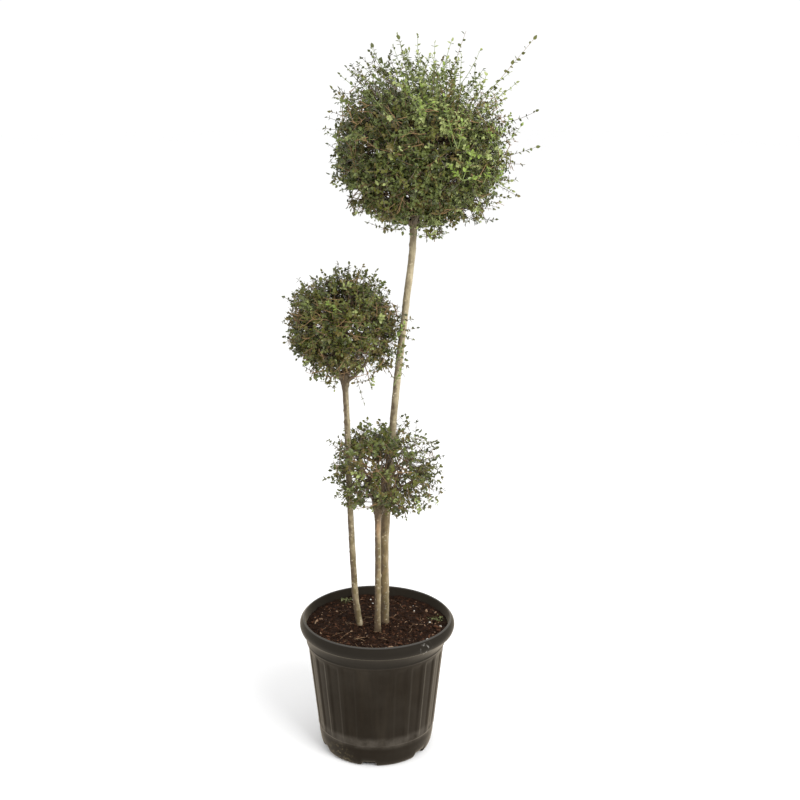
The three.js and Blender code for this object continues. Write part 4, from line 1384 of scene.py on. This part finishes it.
def leaves_on(rng, ball, paths, pairs, first, size, lean, loose):
    """Opposite pairs of leaves along shoots, turned a quarter from pair to pair, and one at the tip. Each
    leans out from the shoot, its face turned to the shoot's tip and a little outwards and up, and at
    random by loose. Returns arrays by leaf: shoot, place, way, face and length."""
    number = len(paths)
    size = np.broadcast_to(size, number)
    shoot = np.repeat(np.arange(number), 2 * pairs)
    run = np.tile(np.repeat(np.linspace(first, 0.96, pairs), 2), number)
    run = run + rng.uniform(-0.03, 0.03, len(run))
    spots = along(paths, shoot, run)
    ahead = unit(along(paths, shoot, np.minimum(run + 0.05, 1)) - along(paths, shoot, run - 0.05))
    side = unit(np.cross(ahead, UP + 0.02))
    other = np.cross(ahead, side)
    quarter = np.tile(np.repeat(np.arange(pairs), 2), number) * math.pi / 2
    hand = np.tile([0, math.pi], number * pairs)
    turn = np.repeat(rng.uniform(0, FULL_TURN, number), 2 * pairs) + quarter + hand
    turn = turn + rng.normal(0, 0.25, len(turn))
    side = np.cos(turn)[:, None] * side + np.sin(turn)[:, None] * other
    tilt = (lean + rng.normal(0, 0.18, len(turn)))[:, None]
    ways = np.cos(tilt) * ahead + np.sin(tilt) * side
    grown = np.repeat(size, 2 * pairs) * rng.uniform(0.72, 1.12, len(turn)) * (1.08 - 0.4 * run)
    end_way = unit(paths[:, -1] - paths[:, -2] + 0.002 * rng.normal(size=(number, 3)))
    shoot = np.concatenate([shoot, np.arange(number)])
    spots = np.concatenate([spots, paths[:, -1]])
    ways = np.concatenate([ways, end_way])
    ahead = np.concatenate([ahead, unit(rng.normal(size=(number, 3)))])
    grown = np.concatenate([grown, size * rng.uniform(0.55, 0.85, number)])
    out = unit(spots - np.array(ball.centre))
    face = ahead + 0.55 * out + 0.45 * UP + loose * rng.normal(size=ways.shape)
    ways = unit(ways - 0.12 * UP)
    face = unit(face - ways * (face * ways).sum(axis=-1, keepdims=True))
    return {"shoot": shoot, "place": spots, "way": ways, "face": face, "size": grown}


def kept(leaves, keep):
    """The chosen leaves."""
    return {key: values[keep] for key, values in leaves.items()}


def deal_tints(rng, plan, ball, tips):
    """A leaf tint for each shoot. Light tints are likelier the more a shoot points to the light and the
    nearer it is to the outline, which counts for more towards the sky. Shoots that point to the ground
    have odds of their own."""
    away = tips - np.array(ball.centre)
    ways = unit(away)
    deeper = SKY_DEEPER * facing(ways)[:, 0]
    outer = ease(0.70, 0.98, np.linalg.norm(away, axis=1) / reach(ball, ways) + deeper)
    # Painted light: shoots towards the light and near the outline get lighter tints, partly young growth
    lit = ease(0.05, 0.85, ways @ unit(np.array(plan["sunward"]))) * outer
    # Painted light thrown up from the floor: lighter tints towards the ground, with old bronze leaves
    low = (1 - lit) * ease(0.1, 0.75, -ways[:, 2])
    parts = np.stack([1 - lit - low, lit, low], axis=-1)
    odds = parts @ np.array([plan["shade"], plan["sun"], plan["ground"]])
    passed = rng.uniform(0, 1, (len(tips), 1)) > np.cumsum(odds, axis=1)
    return passed.sum(axis=1).clip(0, len(LEAF_TINTS) - 1)


class Growth:
    """A ball while it grows: its plan, its settings, its random numbers, and the places that its twigs
    start from. Each step draws from the same random numbers, so their order matters."""

    def __init__(self, plan, ball):
        path, _, radius, _ = stem_form(plan["stem"])
        self.plan = plan
        self.ball = ball
        self.rng = np.random.default_rng(ball.seed)
        self.centre = np.array(ball.centre)
        self.core = core_centre(ball)
        self.head = path[-1]
        self.head_radius = radius[-1]

    def out(self, ways, away):
        """Points at distances from the outline's centre."""
        return self.centre + ways * away[:, None]

    def short_of_fringe(self, ways, least, most):
        """Points that fall short of the fringe by a random share of the reach."""
        ends = 1 - fringe_depth(self.ball, ways) - self.rng.uniform(least, most, len(ways))
        return self.out(ways, reach(self.ball, ways) * ends)

    def limbs(self):
        """Limbs in golden-angle directions, and these directions. They start between the stem's head and
        the core's centre or, where they point down, at the nearest bough's tip."""
        ball, rng = self.ball, self.rng
        bough_tips = bough_paths(ball, self.plan["stem"], 3)[:, -1]
        ways = golden_ways(rng, ball.limbs)
        roots = self.head + rng.uniform(TWIG_ROOT_LEAST, 1, (ball.limbs, 1)) * (self.core - self.head)
        nearest = np.argmax(unit(bough_tips - self.core) @ ways.T, axis=0)
        roots = np.where((ways[:, 2] < LIMB_DOWN)[:, None], bough_tips[nearest], roots)
        tips = self.short_of_fringe(ways, *LIMB_SHORT)
        return twigs_to(rng, roots, tips, LIMB_STEPS), ways

    def branches(self, limbs, limb_ways):
        """Branches that fork from the limbs, others that leave the boughs outwards, and drooping sprays.
        The sprays are returned by themselves too."""
        ball, rng = self.ball, self.rng
        which = np.repeat(np.arange(ball.limbs), ball.branches)
        roots = along(limbs, which, rng.uniform(*BRANCH_ROOTS, len(which)))
        ways = unit(limb_ways[which] + BRANCH_SPREAD * rng.normal(size=roots.shape))
        tips = self.short_of_fringe(ways, *BRANCH_SHORT)
        forks = twigs_to(rng, roots, tips, BRANCH_STEPS)
        boughs = bough_paths(ball, self.plan["stem"], BRANCH_STEPS)
        which = np.repeat(np.arange(ball.boughs), ball.under)
        roots = along(boughs, which, rng.uniform(*UNDER_ROOTS, len(which)))
        ways = unit(roots - self.core + UNDER_SPREAD * rng.normal(size=roots.shape))
        tips = self.out(ways, reach(ball, ways) * rng.uniform(*UNDER_ENDS, len(which)))
        under = twigs_to(rng, roots, tips, BRANCH_STEPS)
        droops = plan_places(self.plan, "droops")
        roots = self.centre + DROOP_ROOT * droops * (1, 1, DROOP_ROOT_LOW)
        tips = self.centre + DROOP_END * droops
        hanging = twigs_to(rng, roots, tips, BRANCH_STEPS, lift=DROOP_LIFT)
        return np.concatenate([forks, under, hanging]), hanging

    def shoots(self, branches):
        """Short shoots on the branches. They point outwards and end in the fringe, no longer than a few
        leaves but longer towards the sky. Those in the way of a stem or a gap are left out, and some
        where the ball is thin."""
        ball, rng, stem = self.ball, self.rng, self.plan["stem"]
        which = np.repeat(np.arange(len(branches)), ball.shoots)
        roots = along(branches, which, rng.uniform(*SHOOT_ROOTS, len(which)) ** SHOOT_ROOT_POWER)
        outward = unit(roots - self.centre)
        ways = unit(outward + SHOOT_SPREAD * rng.normal(size=roots.shape))
        depth = fringe_depth(ball, ways)
        ends = SHOOT_END - depth * rng.uniform(0, 1, len(which)) ** FRINGE_EVEN
        begun = np.linalg.norm(roots - self.centre, axis=1) / reach(ball, outward)
        ends = np.clip(np.maximum(ends, begun + SHOOT_LEAST), 0, SHOOT_END)
        run = self.out(ways, leafy_reach(ball, ways) * ends - 0.25 * ball.leaf) - roots
        far = np.linalg.norm(run, axis=1)
        least, most = (leaves * ball.leaf for leaves in SHOOT_LEAVES)
        most = most + most * ease(0.2, 0.9, ways[:, 2])
        tips = roots + run * (np.clip(far, least, most) / far)[:, None]
        shoots = twigs_to(rng, roots, tips, SHOOT_STEPS)
        clear = clear_of_stems(shoots[:, 1], stem, STEM_CLEAR) & clear_of_stems(tips, stem, STEM_CLEAR)
        clear &= rng.uniform(0, 1, len(ways)) > facing(ways) @ np.array(ball.thin)
        for step in range(SHOOT_STEPS):
            clear &= ~opened(shoots[:, step], self.plan, ball, self.head, 0.0)
        return shoots[clear]

    def strays(self):
        """Shoots that stand out of the clipped outline, more so towards the sky, and the plan's other
        long ones."""
        ball, rng = self.ball, self.rng
        ways = unit(golden_ways(rng, ball.strays) + self.plan["stray_bias"])
        outline = (reach(ball, ways) * (1 - ball.corner * facing(ways)[:, 3]))[:, None]
        roots = self.centre + ways * outline * rng.uniform(*STRAY_ROOTS, (ball.strays, 1))
        ways = unit(ways + STRAY_SPREAD * rng.normal(size=ways.shape))
        ends = rng.uniform(*STRAY_ENDS, ball.strays)
        ends = ends + STRAY_SKY * facing(ways)[:, 0] * rng.uniform(0, 1, ball.strays)
        tips = self.centre + ways * outline * ends[:, None]
        tall_tips = plan_places(self.plan, "tall")
        roots = np.concatenate([roots, self.centre + TALL_ROOT * tall_tips])
        tips = np.concatenate([tips, self.centre + tall_tips])
        return twigs_to(rng, roots, tips, LIMB_STEPS)

    def clipped(self):
        """Bare twigs along the outline, but not on its top, each with two short side twigs."""
        ball, rng = self.ball, self.rng
        ways = unit(np.minimum(golden_ways(rng, ball.clipped), (1, 1, CLIPPED_HIGHEST)))
        roots = self.out(ways, leafy_reach(ball, ways) * rng.uniform(*CLIPPED_ROOTS, ball.clipped))
        level = unit(np.cross(ways, UP + CLIPPED_TILT * rng.normal(size=ways.shape)))
        ways = unit(roots - self.centre + level * rng.uniform(*CLIPPED_RUN, (ball.clipped, 1)))
        tips = self.out(ways, leafy_reach(ball, ways) * rng.uniform(*CLIPPED_ENDS, ball.clipped))
        twigs = twigs_to(rng, roots, tips, BRANCH_STEPS, sway=CLIPPED_SWAY)
        which = np.repeat(np.arange(ball.clipped), 2)
        roots = along(twigs, which, rng.uniform(*SIDE_ROOTS, len(which)))
        ways = unit(twigs[which, -1] - twigs[which, 0] + SIDE_SPREAD * rng.normal(size=roots.shape))
        tips = roots + ways * rng.uniform(*SIDE_RUN, (len(which), 1))
        return np.concatenate([twigs, twigs_to(rng, roots, tips, BRANCH_STEPS, sway=SIDE_SWAY)])

    def longest(self):
        """The longest shoots, which start inside the core and end a leaf short of the plan's tips."""
        tips = plan_places(self.plan, "wild")
        start = WILD_ROOT[0] * self.head + WILD_ROOT[1] * self.core
        roots = np.broadcast_to(start, tips.shape)
        tips = self.centre + tips - unit(tips) * self.ball.leaf
        return twigs_to(self.rng, roots, tips, 2 * LIMB_STEPS)

    def fresh(self):
        """New shoots between the plan's pairs of places."""
        ends = plan_places(self.plan, "fresh").reshape(-1, 2, 3)
        roots = self.centre + FRESH_ROOT * ends[:, 0]
        return twigs_to(self.rng, roots, self.centre + ends[:, 1], LIMB_STEPS)

    def leaves(self, shoots, strays, wild, fresh, hanging):
        """Leaves on the five kinds of leafy twigs, and the tint of each twig by kind. Leaves of shoots
        are larger towards the sky and finer at the right."""
        ball, rng = self.ball, self.rng
        ways = unit(shoots[:, -1] - self.centre)
        grown = 1.03 + 0.22 * ease(0.35, 0.9, ways[:, 2]) - LEAF_FINER * ease(-0.2, 0.9, ways[:, 0])
        # Twigs, pairs of leaves on each, the share of the twig where they begin, length, lean, looseness
        kinds = (
            (shoots, ball.pairs, 0.22, grown * ball.leaf, LEAF_LEAN, 0.25),
            (strays, 5, 0.25, 1.15 * ball.leaf, 0.85 * LEAF_LEAN, 0.5),
            (wild, 9, 0.66, self.plan["wild_leaf"], 0.85 * LEAF_LEAN, 0.9),
            (fresh, 6, 0.35, 1.1 * ball.leaf, 0.75 * LEAF_LEAN, 0.4),
            (hanging, 4, 0.50, 1.05 * ball.leaf, LEAF_LEAN, 0.5),
        )
        groups = [leaves_on(rng, ball, *kind) for kind in kinds]
        tints = [deal_tints(rng, self.plan, ball, kind[0][:, -1]) for kind in kinds]
        tints[2] = np.minimum(tints[2], LEAF_TINTS.index("middle"))
        tints[3][:] = LEAF_TINTS.index("fresh")
        for group, tint_numbers in zip(groups, tints):
            group["tint"] = tint_numbers[group["shoot"]]
        leaves = {key: np.concatenate([group[key] for group in groups]) for key in groups[0]}
        return kept(leaves, self.stay(leaves)), tints

    def stay(self, leaves):
        """True for leaves that have not dropped. More drop towards the ground and deep inside, and all
        that would touch a stem or close a gap."""
        ball = self.ball
        middles = leaves["place"] + 0.6 * leaves["size"][:, None] * leaves["way"]
        ways = unit(middles - self.centre)
        deep = np.linalg.norm(middles - self.centre, axis=1) / reach(ball, ways)
        dropped = ball.bare + self.plan["bare_low"] * facing(ways)[:, 2]
        dropped = dropped + INNER_BARE * ease(*INNER_EDGE, deep)
        keep = self.rng.uniform(0, 1, len(middles)) > dropped
        keep &= clear_of_stems(middles, None, 0.5 * ball.leaf)
        keep &= clear_of_stems(leaves["place"], self.plan["stem"], 0.002)
        return keep & ~opened(middles, self.plan, ball, self.head, 0.3 * ball.leaf)


def grow_ball(name, ball):
    """A ball by the solids' rule. Limbs leave the stem's end and the boughs' tips in golden-angle
    directions, branches leave the limbs and shoots the branches, all by the same bowed twig, and end
    short of the clipped outline by the depth of its fringe. Strays, clipped twigs, the longest and the
    new shoots follow, then the leaves. Returns the leaves, the twigs with their radii, and the twigs'
    tints."""
    growth = Growth(BALLS[name], ball)
    limbs, ways = growth.limbs()
    branches, hanging = growth.branches(limbs, ways)
    twigs = {"limbs": limbs, "branches": branches}
    twigs["shoots"] = growth.shoots(branches)
    twigs["strays"] = growth.strays()
    twigs["clipped"] = growth.clipped()
    twigs["wild"] = growth.longest()
    twigs["fresh"] = growth.fresh()
    leaves, tints = growth.leaves(twigs["shoots"], twigs["strays"], twigs["wild"], twigs["fresh"], hanging)
    bend = 0.5 * (growth.head + growth.core) + LEADER_BOW
    leader = np.stack([growth.head, bend, growth.core])[None]
    wood = {key: (paths, TWIG_RADII[key]) for key, paths in twigs.items()}
    wood["leader"] = (leader, MASS_STEM * growth.head_radius)
    return leaves, wood, tints


def leaf_points(leaves, width, fold, curl):
    """Points of closed leaf blades: the rim rises from the midrib by fold, and the whole blade droops by
    curl times the square of the distance from its base. The underside spans straight from base to tip."""
    half = np.array(LEAF_RIM)
    right = half[:-1] * (1, -1)
    left = half[:0:-1]
    rib = np.stack([LEAF_MIDRIB, (0.0, 0.0)], axis=-1)
    flat = np.concatenate([right, left, rib])
    rise = fold * np.abs(flat[:, 1]) / LEAF_HALF - curl * flat[:, 0] ** 2
    side = np.cross(leaves["face"], leaves["way"])
    size = leaves["size"][:, None, None]
    spread = flat[:, :1] * leaves["way"][:, None] + width * flat[:, 1:] * side[:, None]
    return leaves["place"][:, None] + size * (spread + rise[:, None] * leaves["face"][:, None])


def leaf_piece(name, leaves, width, form, materials, nodes):
    """One joined mesh of leaves: upper faces take the first material and undersides the second."""
    points = leaf_points(leaves, width, form.fold, form.curl)
    number, each = points.shape[:2]
    first = (each * np.arange(number))[:, None, None]
    faces = [(np.array(part)[None] + first).reshape(-1, 3) for part in (LEAF_UPPER, LEAF_UNDER)]
    finish = np.concatenate([np.zeros(len(faces[0])), np.ones(len(faces[1]))])
    crisp = np.zeros((each, each), bool)
    crisp[tuple(np.array(LEAF_SHARP).T)] = True
    return new_piece(
        name, points.reshape(-1, 3), faces, materials, nodes, finish,
        sharp=lambda ends: crisp[ends[:, 0] % each, ends[:, 1] % each],
    )


def leaf_materials(tones):
    """For each tint, the glossy upper face and the paler matt underside."""
    made = {}
    for label in LEAF_TINTS:
        colour = np.array(getattr(tones, label))
        pale = 0.66 * colour + 0.34 * np.array(LEAF_BACK)
        upper = plain_material(f"{label} leaf", colour, 0.36, 0.36)
        made[label] = (upper, plain_material(f"{label} leaf underside", pale, 0.65, 0.25))
    return made


def twig_materials(tones):
    """Old wood, russet and grey twigs, green shoots and amber twigs, in this order."""
    return [
        plain_material("old wood", tones.wood, 0.8),
        plain_material("russet twig", tones.russet, 0.7),
        plain_material("grey twig", tones.grey, 0.75),
        plain_material("green shoot", tones.sappy, 0.55),
        plain_material("amber twig", tones.amber, 0.65),
    ]


# Operators


def settings():
    """The values that the panel shows."""
    return bpy.context.scene.topiary


def soft_light(name, spot, size, energy):
    """A square area light that faces the middle of the plant."""
    lamp = bpy.data.lights.new(name, "AREA")
    lamp.size = size
    lamp.energy = energy
    light = bpy.data.objects.new(name, lamp)
    light.location = spot
    away = np.array(spot) - (0.0, 0.0, LIT_HEIGHT)
    flat = math.hypot(away[0], away[1])
    light.rotation_euler = (math.atan2(flat, away[2]), 0.0, math.atan2(away[1], away[0]) + math.pi / 2)
    bpy.context.scene.collection.objects.link(light)


class TOPIARY_OT_stage(bpy.types.Operator):
    """Sets the camera, the soft studio light and the pale floor"""

    bl_idname = "topiary.stage"
    bl_label = "Stage"

    def execute(self, context):
        stage = settings().stage
        scene = context.scene
        scene.view_settings.view_transform = "Standard"
        lens = bpy.data.cameras.new("camera")
        lens.lens = stage.lens
        lens.sensor_width = SENSOR_WIDTH
        camera = bpy.data.objects.new("camera", lens)
        camera.location = stage.eye
        camera.rotation_euler = (math.pi / 2 - stage.pitch, 0.0, 0.0)
        scene.collection.objects.link(camera)
        scene.camera = camera
        world = bpy.data.worlds.new("white surroundings")
        world.use_nodes = True
        sky = world.node_tree.nodes["Background"].inputs
        sky["Color"].default_value = (1.0, 1.0, 1.0, 1.0)
        sky["Strength"].default_value = stage.sky
        scene.world = world
        soft_light("key light", *KEY_LIGHT, stage.key)
        soft_light("fill light", *FILL_LIGHT, stage.fill)
        self.lay_floor(stage)
        return {"FINISHED"}

    def lay_floor(self, stage):
        """A wide disc over (radius, angle), level at the pot's underside."""
        ring = level_ways(even_turns(FLOOR_COLUMNS))
        rows = np.stack([radius * ring + height * UP for radius, height in FLOOR_ROWS])
        points, faces = closed_skin(rows[None])
        mesh = bpy.data.meshes.new("floor")
        mesh.from_pydata(points.tolist(), [], [face for part in faces for face in part.tolist()])
        material, tree, shader, spot = new_material("pale floor", 0.85)
        cloud = mottle(tree, spot, 1.5, 0.2, 0.8)
        dim = FLOOR_DIM * np.array(stage.floor)
        tree.links.new(layer(tree, stage.floor, dim, cloud), shader.inputs["Base Color"])
        mesh.materials.append(material)
        floor = bpy.data.objects.new("floor", mesh)
        bpy.context.scene.collection.objects.link(floor)


class TOPIARY_OT_pot(bpy.types.Operator):
    """Moulds the pot"""

    bl_idname = "topiary.pot"
    bl_label = "Pot"

    def execute(self, context):
        pot = settings().pot
        points, faces = closed_skin(pot_surface(pot)[None])
        piece = new_piece("nursery_pot", points, faces, [pot_material(pot)], ["pot"])
        inside = 1 - pot_outline(pot)[2]
        mark(piece, "inside", np.concatenate([np.repeat(inside, POT_COLUMNS), (0, 1)]))
        rib = 1 - flute_panel(pot, even_turns(POT_COLUMNS))
        mark(piece, "rib", np.concatenate([np.tile(rib, len(inside)), (0, 0)]))
        piece.data.set_sharp_from_angle(angle=CREASE_ANGLE)
        return {"FINISHED"}


class TOPIARY_OT_compost(bpy.types.Operator):
    """Fills the pot with compost, bark chips, fibres, grit and moss"""

    bl_idname = "topiary.compost"
    bl_label = "Compost"

    def execute(self, context):
        compost = settings().compost
        points, faces = closed_skin(compost_surface(compost)[None])
        new_piece("compost_bed", points, faces, [compost_material(compost)], ["compost"])
        rng = np.random.default_rng(COMPOST_SEED)
        self.strew_chips(compost, rng)
        self.strew_fibres(compost, rng)
        self.plant_moss(compost, rng)
        return {"FINISHED"}

    def strew_chips(self, compost, rng):
        """Dark, russet and pale splinters, white bits, and splinters heaped round the stems' feet."""
        finishes = [
            chip_material("dark bark chip", (0.011, 0.0050, 0.0022), (0.036, 0.0160, 0.0080)),
            chip_material("russet bark chip", (0.050, 0.022, 0.011), (0.105, 0.048, 0.026)),
            chip_material("pale bark chip", (0.200, 0.120, 0.070), (0.360, 0.250, 0.165)),
            chip_material("white grit", (0.55, 0.53, 0.48), (0.75, 0.73, 0.68)),
        ]
        number = compost.chips
        spots = scatter(rng, number, compost.radius - 0.006)
        lengths = rng.gamma(2.2, 0.0017, number).clip(0.0018, 0.014)
        widths = lengths * rng.uniform(0.28, 0.75, number)
        thickness = widths * rng.uniform(0.4, 0.8, number)
        chips = strewn(compost, rng, spots, lengths, widths, thickness, CHIP_PROFILE, 5, 0.28, 0.25)
        kinds = rng.choice(len(CHIP_ODDS), number, p=CHIP_ODDS)
        spots = scatter(rng, compost.grit, compost.radius - 0.008)
        size = rng.uniform(0.0015, 0.0042, compost.grit)
        grit = strewn(compost, rng, spots, 1.2 * size, size, 0.8 * size, GRIT_PROFILE, 6, 0.2, 0.3)
        white = np.full(compost.grit, len(CHIP_ODDS))
        own = np.random.default_rng(FOOT_CHIP_SEED)
        feet = np.repeat([stem["bends"][0][:2] for stem in STEMS.values()], FOOT_CHIPS, axis=0)
        turn = own.uniform(0, FULL_TURN, len(feet))
        away = own.uniform(0.0085, 0.0130, len(feet))
        spots = feet + away[:, None] * level_ways(turn)[:, :2]
        size = own.uniform(0.0040, 0.0085, len(feet))
        heaped = strewn(compost, own, spots, size, 0.5 * size, 0.35 * size, CHIP_PROFILE, 5, 0.5, 0.6)
        dark = own.choice(len(FOOT_CHIP_ODDS), len(feet), p=FOOT_CHIP_ODDS)
        parts = [tube_part(chips, kinds), tube_part(grit, white), tube_part(heaped, dark)]
        points, faces, finish = joined(parts)
        new_piece("bark_chips", points, faces, finishes, finish=finish)

    def strew_fibres(self, compost, rng):
        """Thin strands that lie in shallow curves."""
        number = compost.fibres
        spots = scatter(rng, number, compost.radius - 0.014)
        lengths = rng.uniform(0.014, 0.046, number)
        thin = rng.uniform(0.0005, 0.0010, number)
        rings = strewn(compost, rng, spots, lengths, thin, thin, FIBRE_PROFILE, 4, 0.06, 1.4)
        points, faces = closed_skin(rings)
        straw = chip_material("pale fibre", (0.170, 0.100, 0.055), (0.330, 0.230, 0.140))
        new_piece("loose_fibres", points, faces, [straw])

    def plant_moss(self, compost, rng):
        """Small upright blades in two patches."""
        number = compost.moss * len(MOSS_PLACES)
        middle = np.repeat(np.array(MOSS_PLACES), compost.moss, axis=0)
        spots = middle + MOSS_SPREAD * rng.normal(size=(number, 2))
        inside = np.linalg.norm(spots, axis=1) < compost.radius - 0.003
        spots = spots[inside]
        ways = unit(np.column_stack([rng.normal(size=(len(spots), 2)), rng.uniform(0.3, 1.1, len(spots))]))
        face = np.cross(ways, unit(rng.normal(size=ways.shape)))
        ground = compost_height(compost, spots)[:, None] - 0.0005
        moss = {
            "place": np.concatenate([spots, ground], axis=1),
            "way": ways,
            "face": unit(face),
            "size": rng.uniform(0.0028, 0.0060, len(spots)),
        }
        green = plain_material("moss", MOSS_GREEN, 0.8)
        pale = plain_material("moss underside", MOSS_PALE, 0.8)
        leaf_piece("moss", moss, MOSS_WIDTH, settings().leaves, [green, pale], [])


class TOPIARY_OT_stems(bpy.types.Operator):
    """Raises the three stems and their boughs, with the relief of the bark"""

    bl_idname = "topiary.stems"
    bl_label = "Stems and boughs"

    def execute(self, context):
        bark = settings().bark
        finish = bark_material(bark)
        for seed, name in enumerate(STEMS):
            skin, marks = stem_surface(name, bark, 100 * (seed + 1))
            points, faces = closed_skin(skin[None])
            piece = new_piece(f"{name}_stem_bark", points, faces, [finish], [f"{name}_stem"])
            ends = np.zeros(2)
            # Pale marks hold a painted highlight and dark marks painted shade, besides pores, scars and soil
            for label, values in zip(("pore", "scar_and_shade"), marks):
                mark(piece, label, np.concatenate([values, ends]))
            mark(piece, "ochre", np.full(len(points), STEMS[name]["ochre"]))
        for name, plan in BALLS.items():
            ball = getattr(settings(), name)
            points, faces = closed_skin(bough_surface(ball, plan["stem"], bark))
            nodes = [f"{name}_bough_{order + 1}" for order in range(ball.boughs)]
            piece = new_piece(f"{name}_boughs_bark", points, faces, [finish], nodes)
            mark(piece, "scar_and_shade", np.full(len(points), BOUGH_DARK))
        return {"FINISHED"}


class TOPIARY_OT_ball(bpy.types.Operator):
    """Grows one ball: twigs, shoots and leaves"""

    bl_idname = "topiary.ball"
    bl_label = "Ball"

    ball: EnumProperty(
        name="Ball",
        description="Which ball to grow",
        items=[(name, name.capitalize(), f"The {name} ball") for name in BALLS],
    )

    def execute(self, context):
        name = self.ball
        ball = getattr(settings(), name)
        tones = settings().leaves
        node = f"{name}_ball_foliage"
        leaves, wood, tints = grow_ball(name, ball)
        self.join_twigs(name, wood, tints, tones, node)
        materials = shared(leaf_materials, tones)
        for number, label in enumerate(LEAF_TINTS):
            own = kept(leaves, leaves["tint"] == number)
            if len(own["size"]):
                piece_name = f"{name}_leaves_{label}"
                leaf_piece(piece_name, own, ball.leaf_width, tones, materials[label], [node])
        return {"FINISHED"}

    def join_twigs(self, name, wood, tints, tones, node):
        """Twigs as tapering tubes: old wood and russet branches in one piece, fine shoots in another."""
        materials = shared(twig_materials, tones)
        old, russet, grey, green, amber = range(len(materials))
        rng = np.random.default_rng(len(wood["shoots"][0]))
        sappy_from = LEAF_TINTS.index(BALLS[name]["sappy"])

        def part(key, sides, taper, finish):
            """Tubes of one kind, which taper to a share of their radius."""
            paths, radius = wood[key]
            profile = radius * np.linspace(1, taper, paths.shape[1])
            girth = np.broadcast_to(profile, paths.shape[:2])
            return tube_part(tubes(paths, girth, girth, sides), finish)

        def dealt(key, choices, odds):
            """A finish for each twig of a kind."""
            return rng.choice(choices, len(wood[key][0]), p=odds)

        thick = [
            part("leader", 10, 0.7, np.array([old])),
            part("limbs", 6, 0.55, dealt("limbs", (old, russet), (0.5, 0.5))),
            part("branches", 5, 0.5, dealt("branches", (old, russet, grey), (0.25, 0.5, 0.25))),
            part("clipped", 4, 0.6, dealt("clipped", (amber, russet), (0.75, 0.25))),
        ]
        woody = np.where(rng.uniform(0, 1, len(tints[0])) < RUSSET_SHARE, russet, grey)
        fine = [
            part("shoots", 3, 0.5, np.where(tints[0] >= sappy_from, green, woody)),
            part("strays", 4, 0.5, np.where(tints[1] >= sappy_from, green, grey)),
            part("wild", 5, 0.35, dealt("wild", (russet, grey), (0.3, 0.7))),
        ]
        if len(wood["fresh"][0]):
            fine.append(part("fresh", 5, 0.45, np.full(len(wood["fresh"][0]), green)))
        for label, parts in (("twigs", thick), ("shoots", fine)):
            points, faces, finish = joined(parts)
            new_piece(f"{name}_{label}", points, faces, materials, [node], finish)


class TOPIARY_PT_panel(bpy.types.Panel):
    """Lists the pieces and their sizes"""

    bl_idname = "TOPIARY_PT_panel"
    bl_label = "Potted privet"
    bl_space_type = "VIEW_3D"
    bl_region_type = "UI"
    bl_category = "Topiary"

    def draw(self, context):
        column = self.layout.column()
        for operator in (TOPIARY_OT_stage, TOPIARY_OT_pot, TOPIARY_OT_compost, TOPIARY_OT_stems):
            column.operator(operator.bl_idname)
        for name in BALLS:
            column.operator(TOPIARY_OT_ball.bl_idname, text=f"{name.capitalize()} ball").ball = name
        for group in ("pot", "compost", "bark", "leaves", *BALLS, "stage"):
            box = self.layout.box()
            box.label(text=group.capitalize())
            values = getattr(settings(), group)
            for key in values.__annotations__:
                box.prop(values, key)


CLASSES = (
    PotSettings, CompostSettings, BarkSettings, LeafSettings, StageSettings,
    TopBallSettings, LeftBallSettings, SmallBallSettings, TopiarySettings,
    TOPIARY_OT_stage, TOPIARY_OT_pot, TOPIARY_OT_compost, TOPIARY_OT_stems, TOPIARY_OT_ball, TOPIARY_PT_panel,
)


def register():
    """Makes the settings, operators and panel known, and gives the scene its settings."""
    for cls in CLASSES:
        bpy.utils.register_class(cls)
    bpy.types.Scene.topiary = PointerProperty(type=TopiarySettings)


def unregister():
    """Takes the settings away again."""
    del bpy.types.Scene.topiary
    for cls in reversed(CLASSES):
        bpy.utils.unregister_class(cls)


def main():
    """Builds the stage and every piece, and writes the boxes of the solids and of the visual model."""
    register()
    bpy.ops.topiary.stage()
    bpy.ops.topiary.pot()
    bpy.ops.topiary.compost()
    bpy.ops.topiary.stems()
    for name in BALLS:
        bpy.ops.topiary.ball(ball=name)


if __name__ == "__main__":
    main()
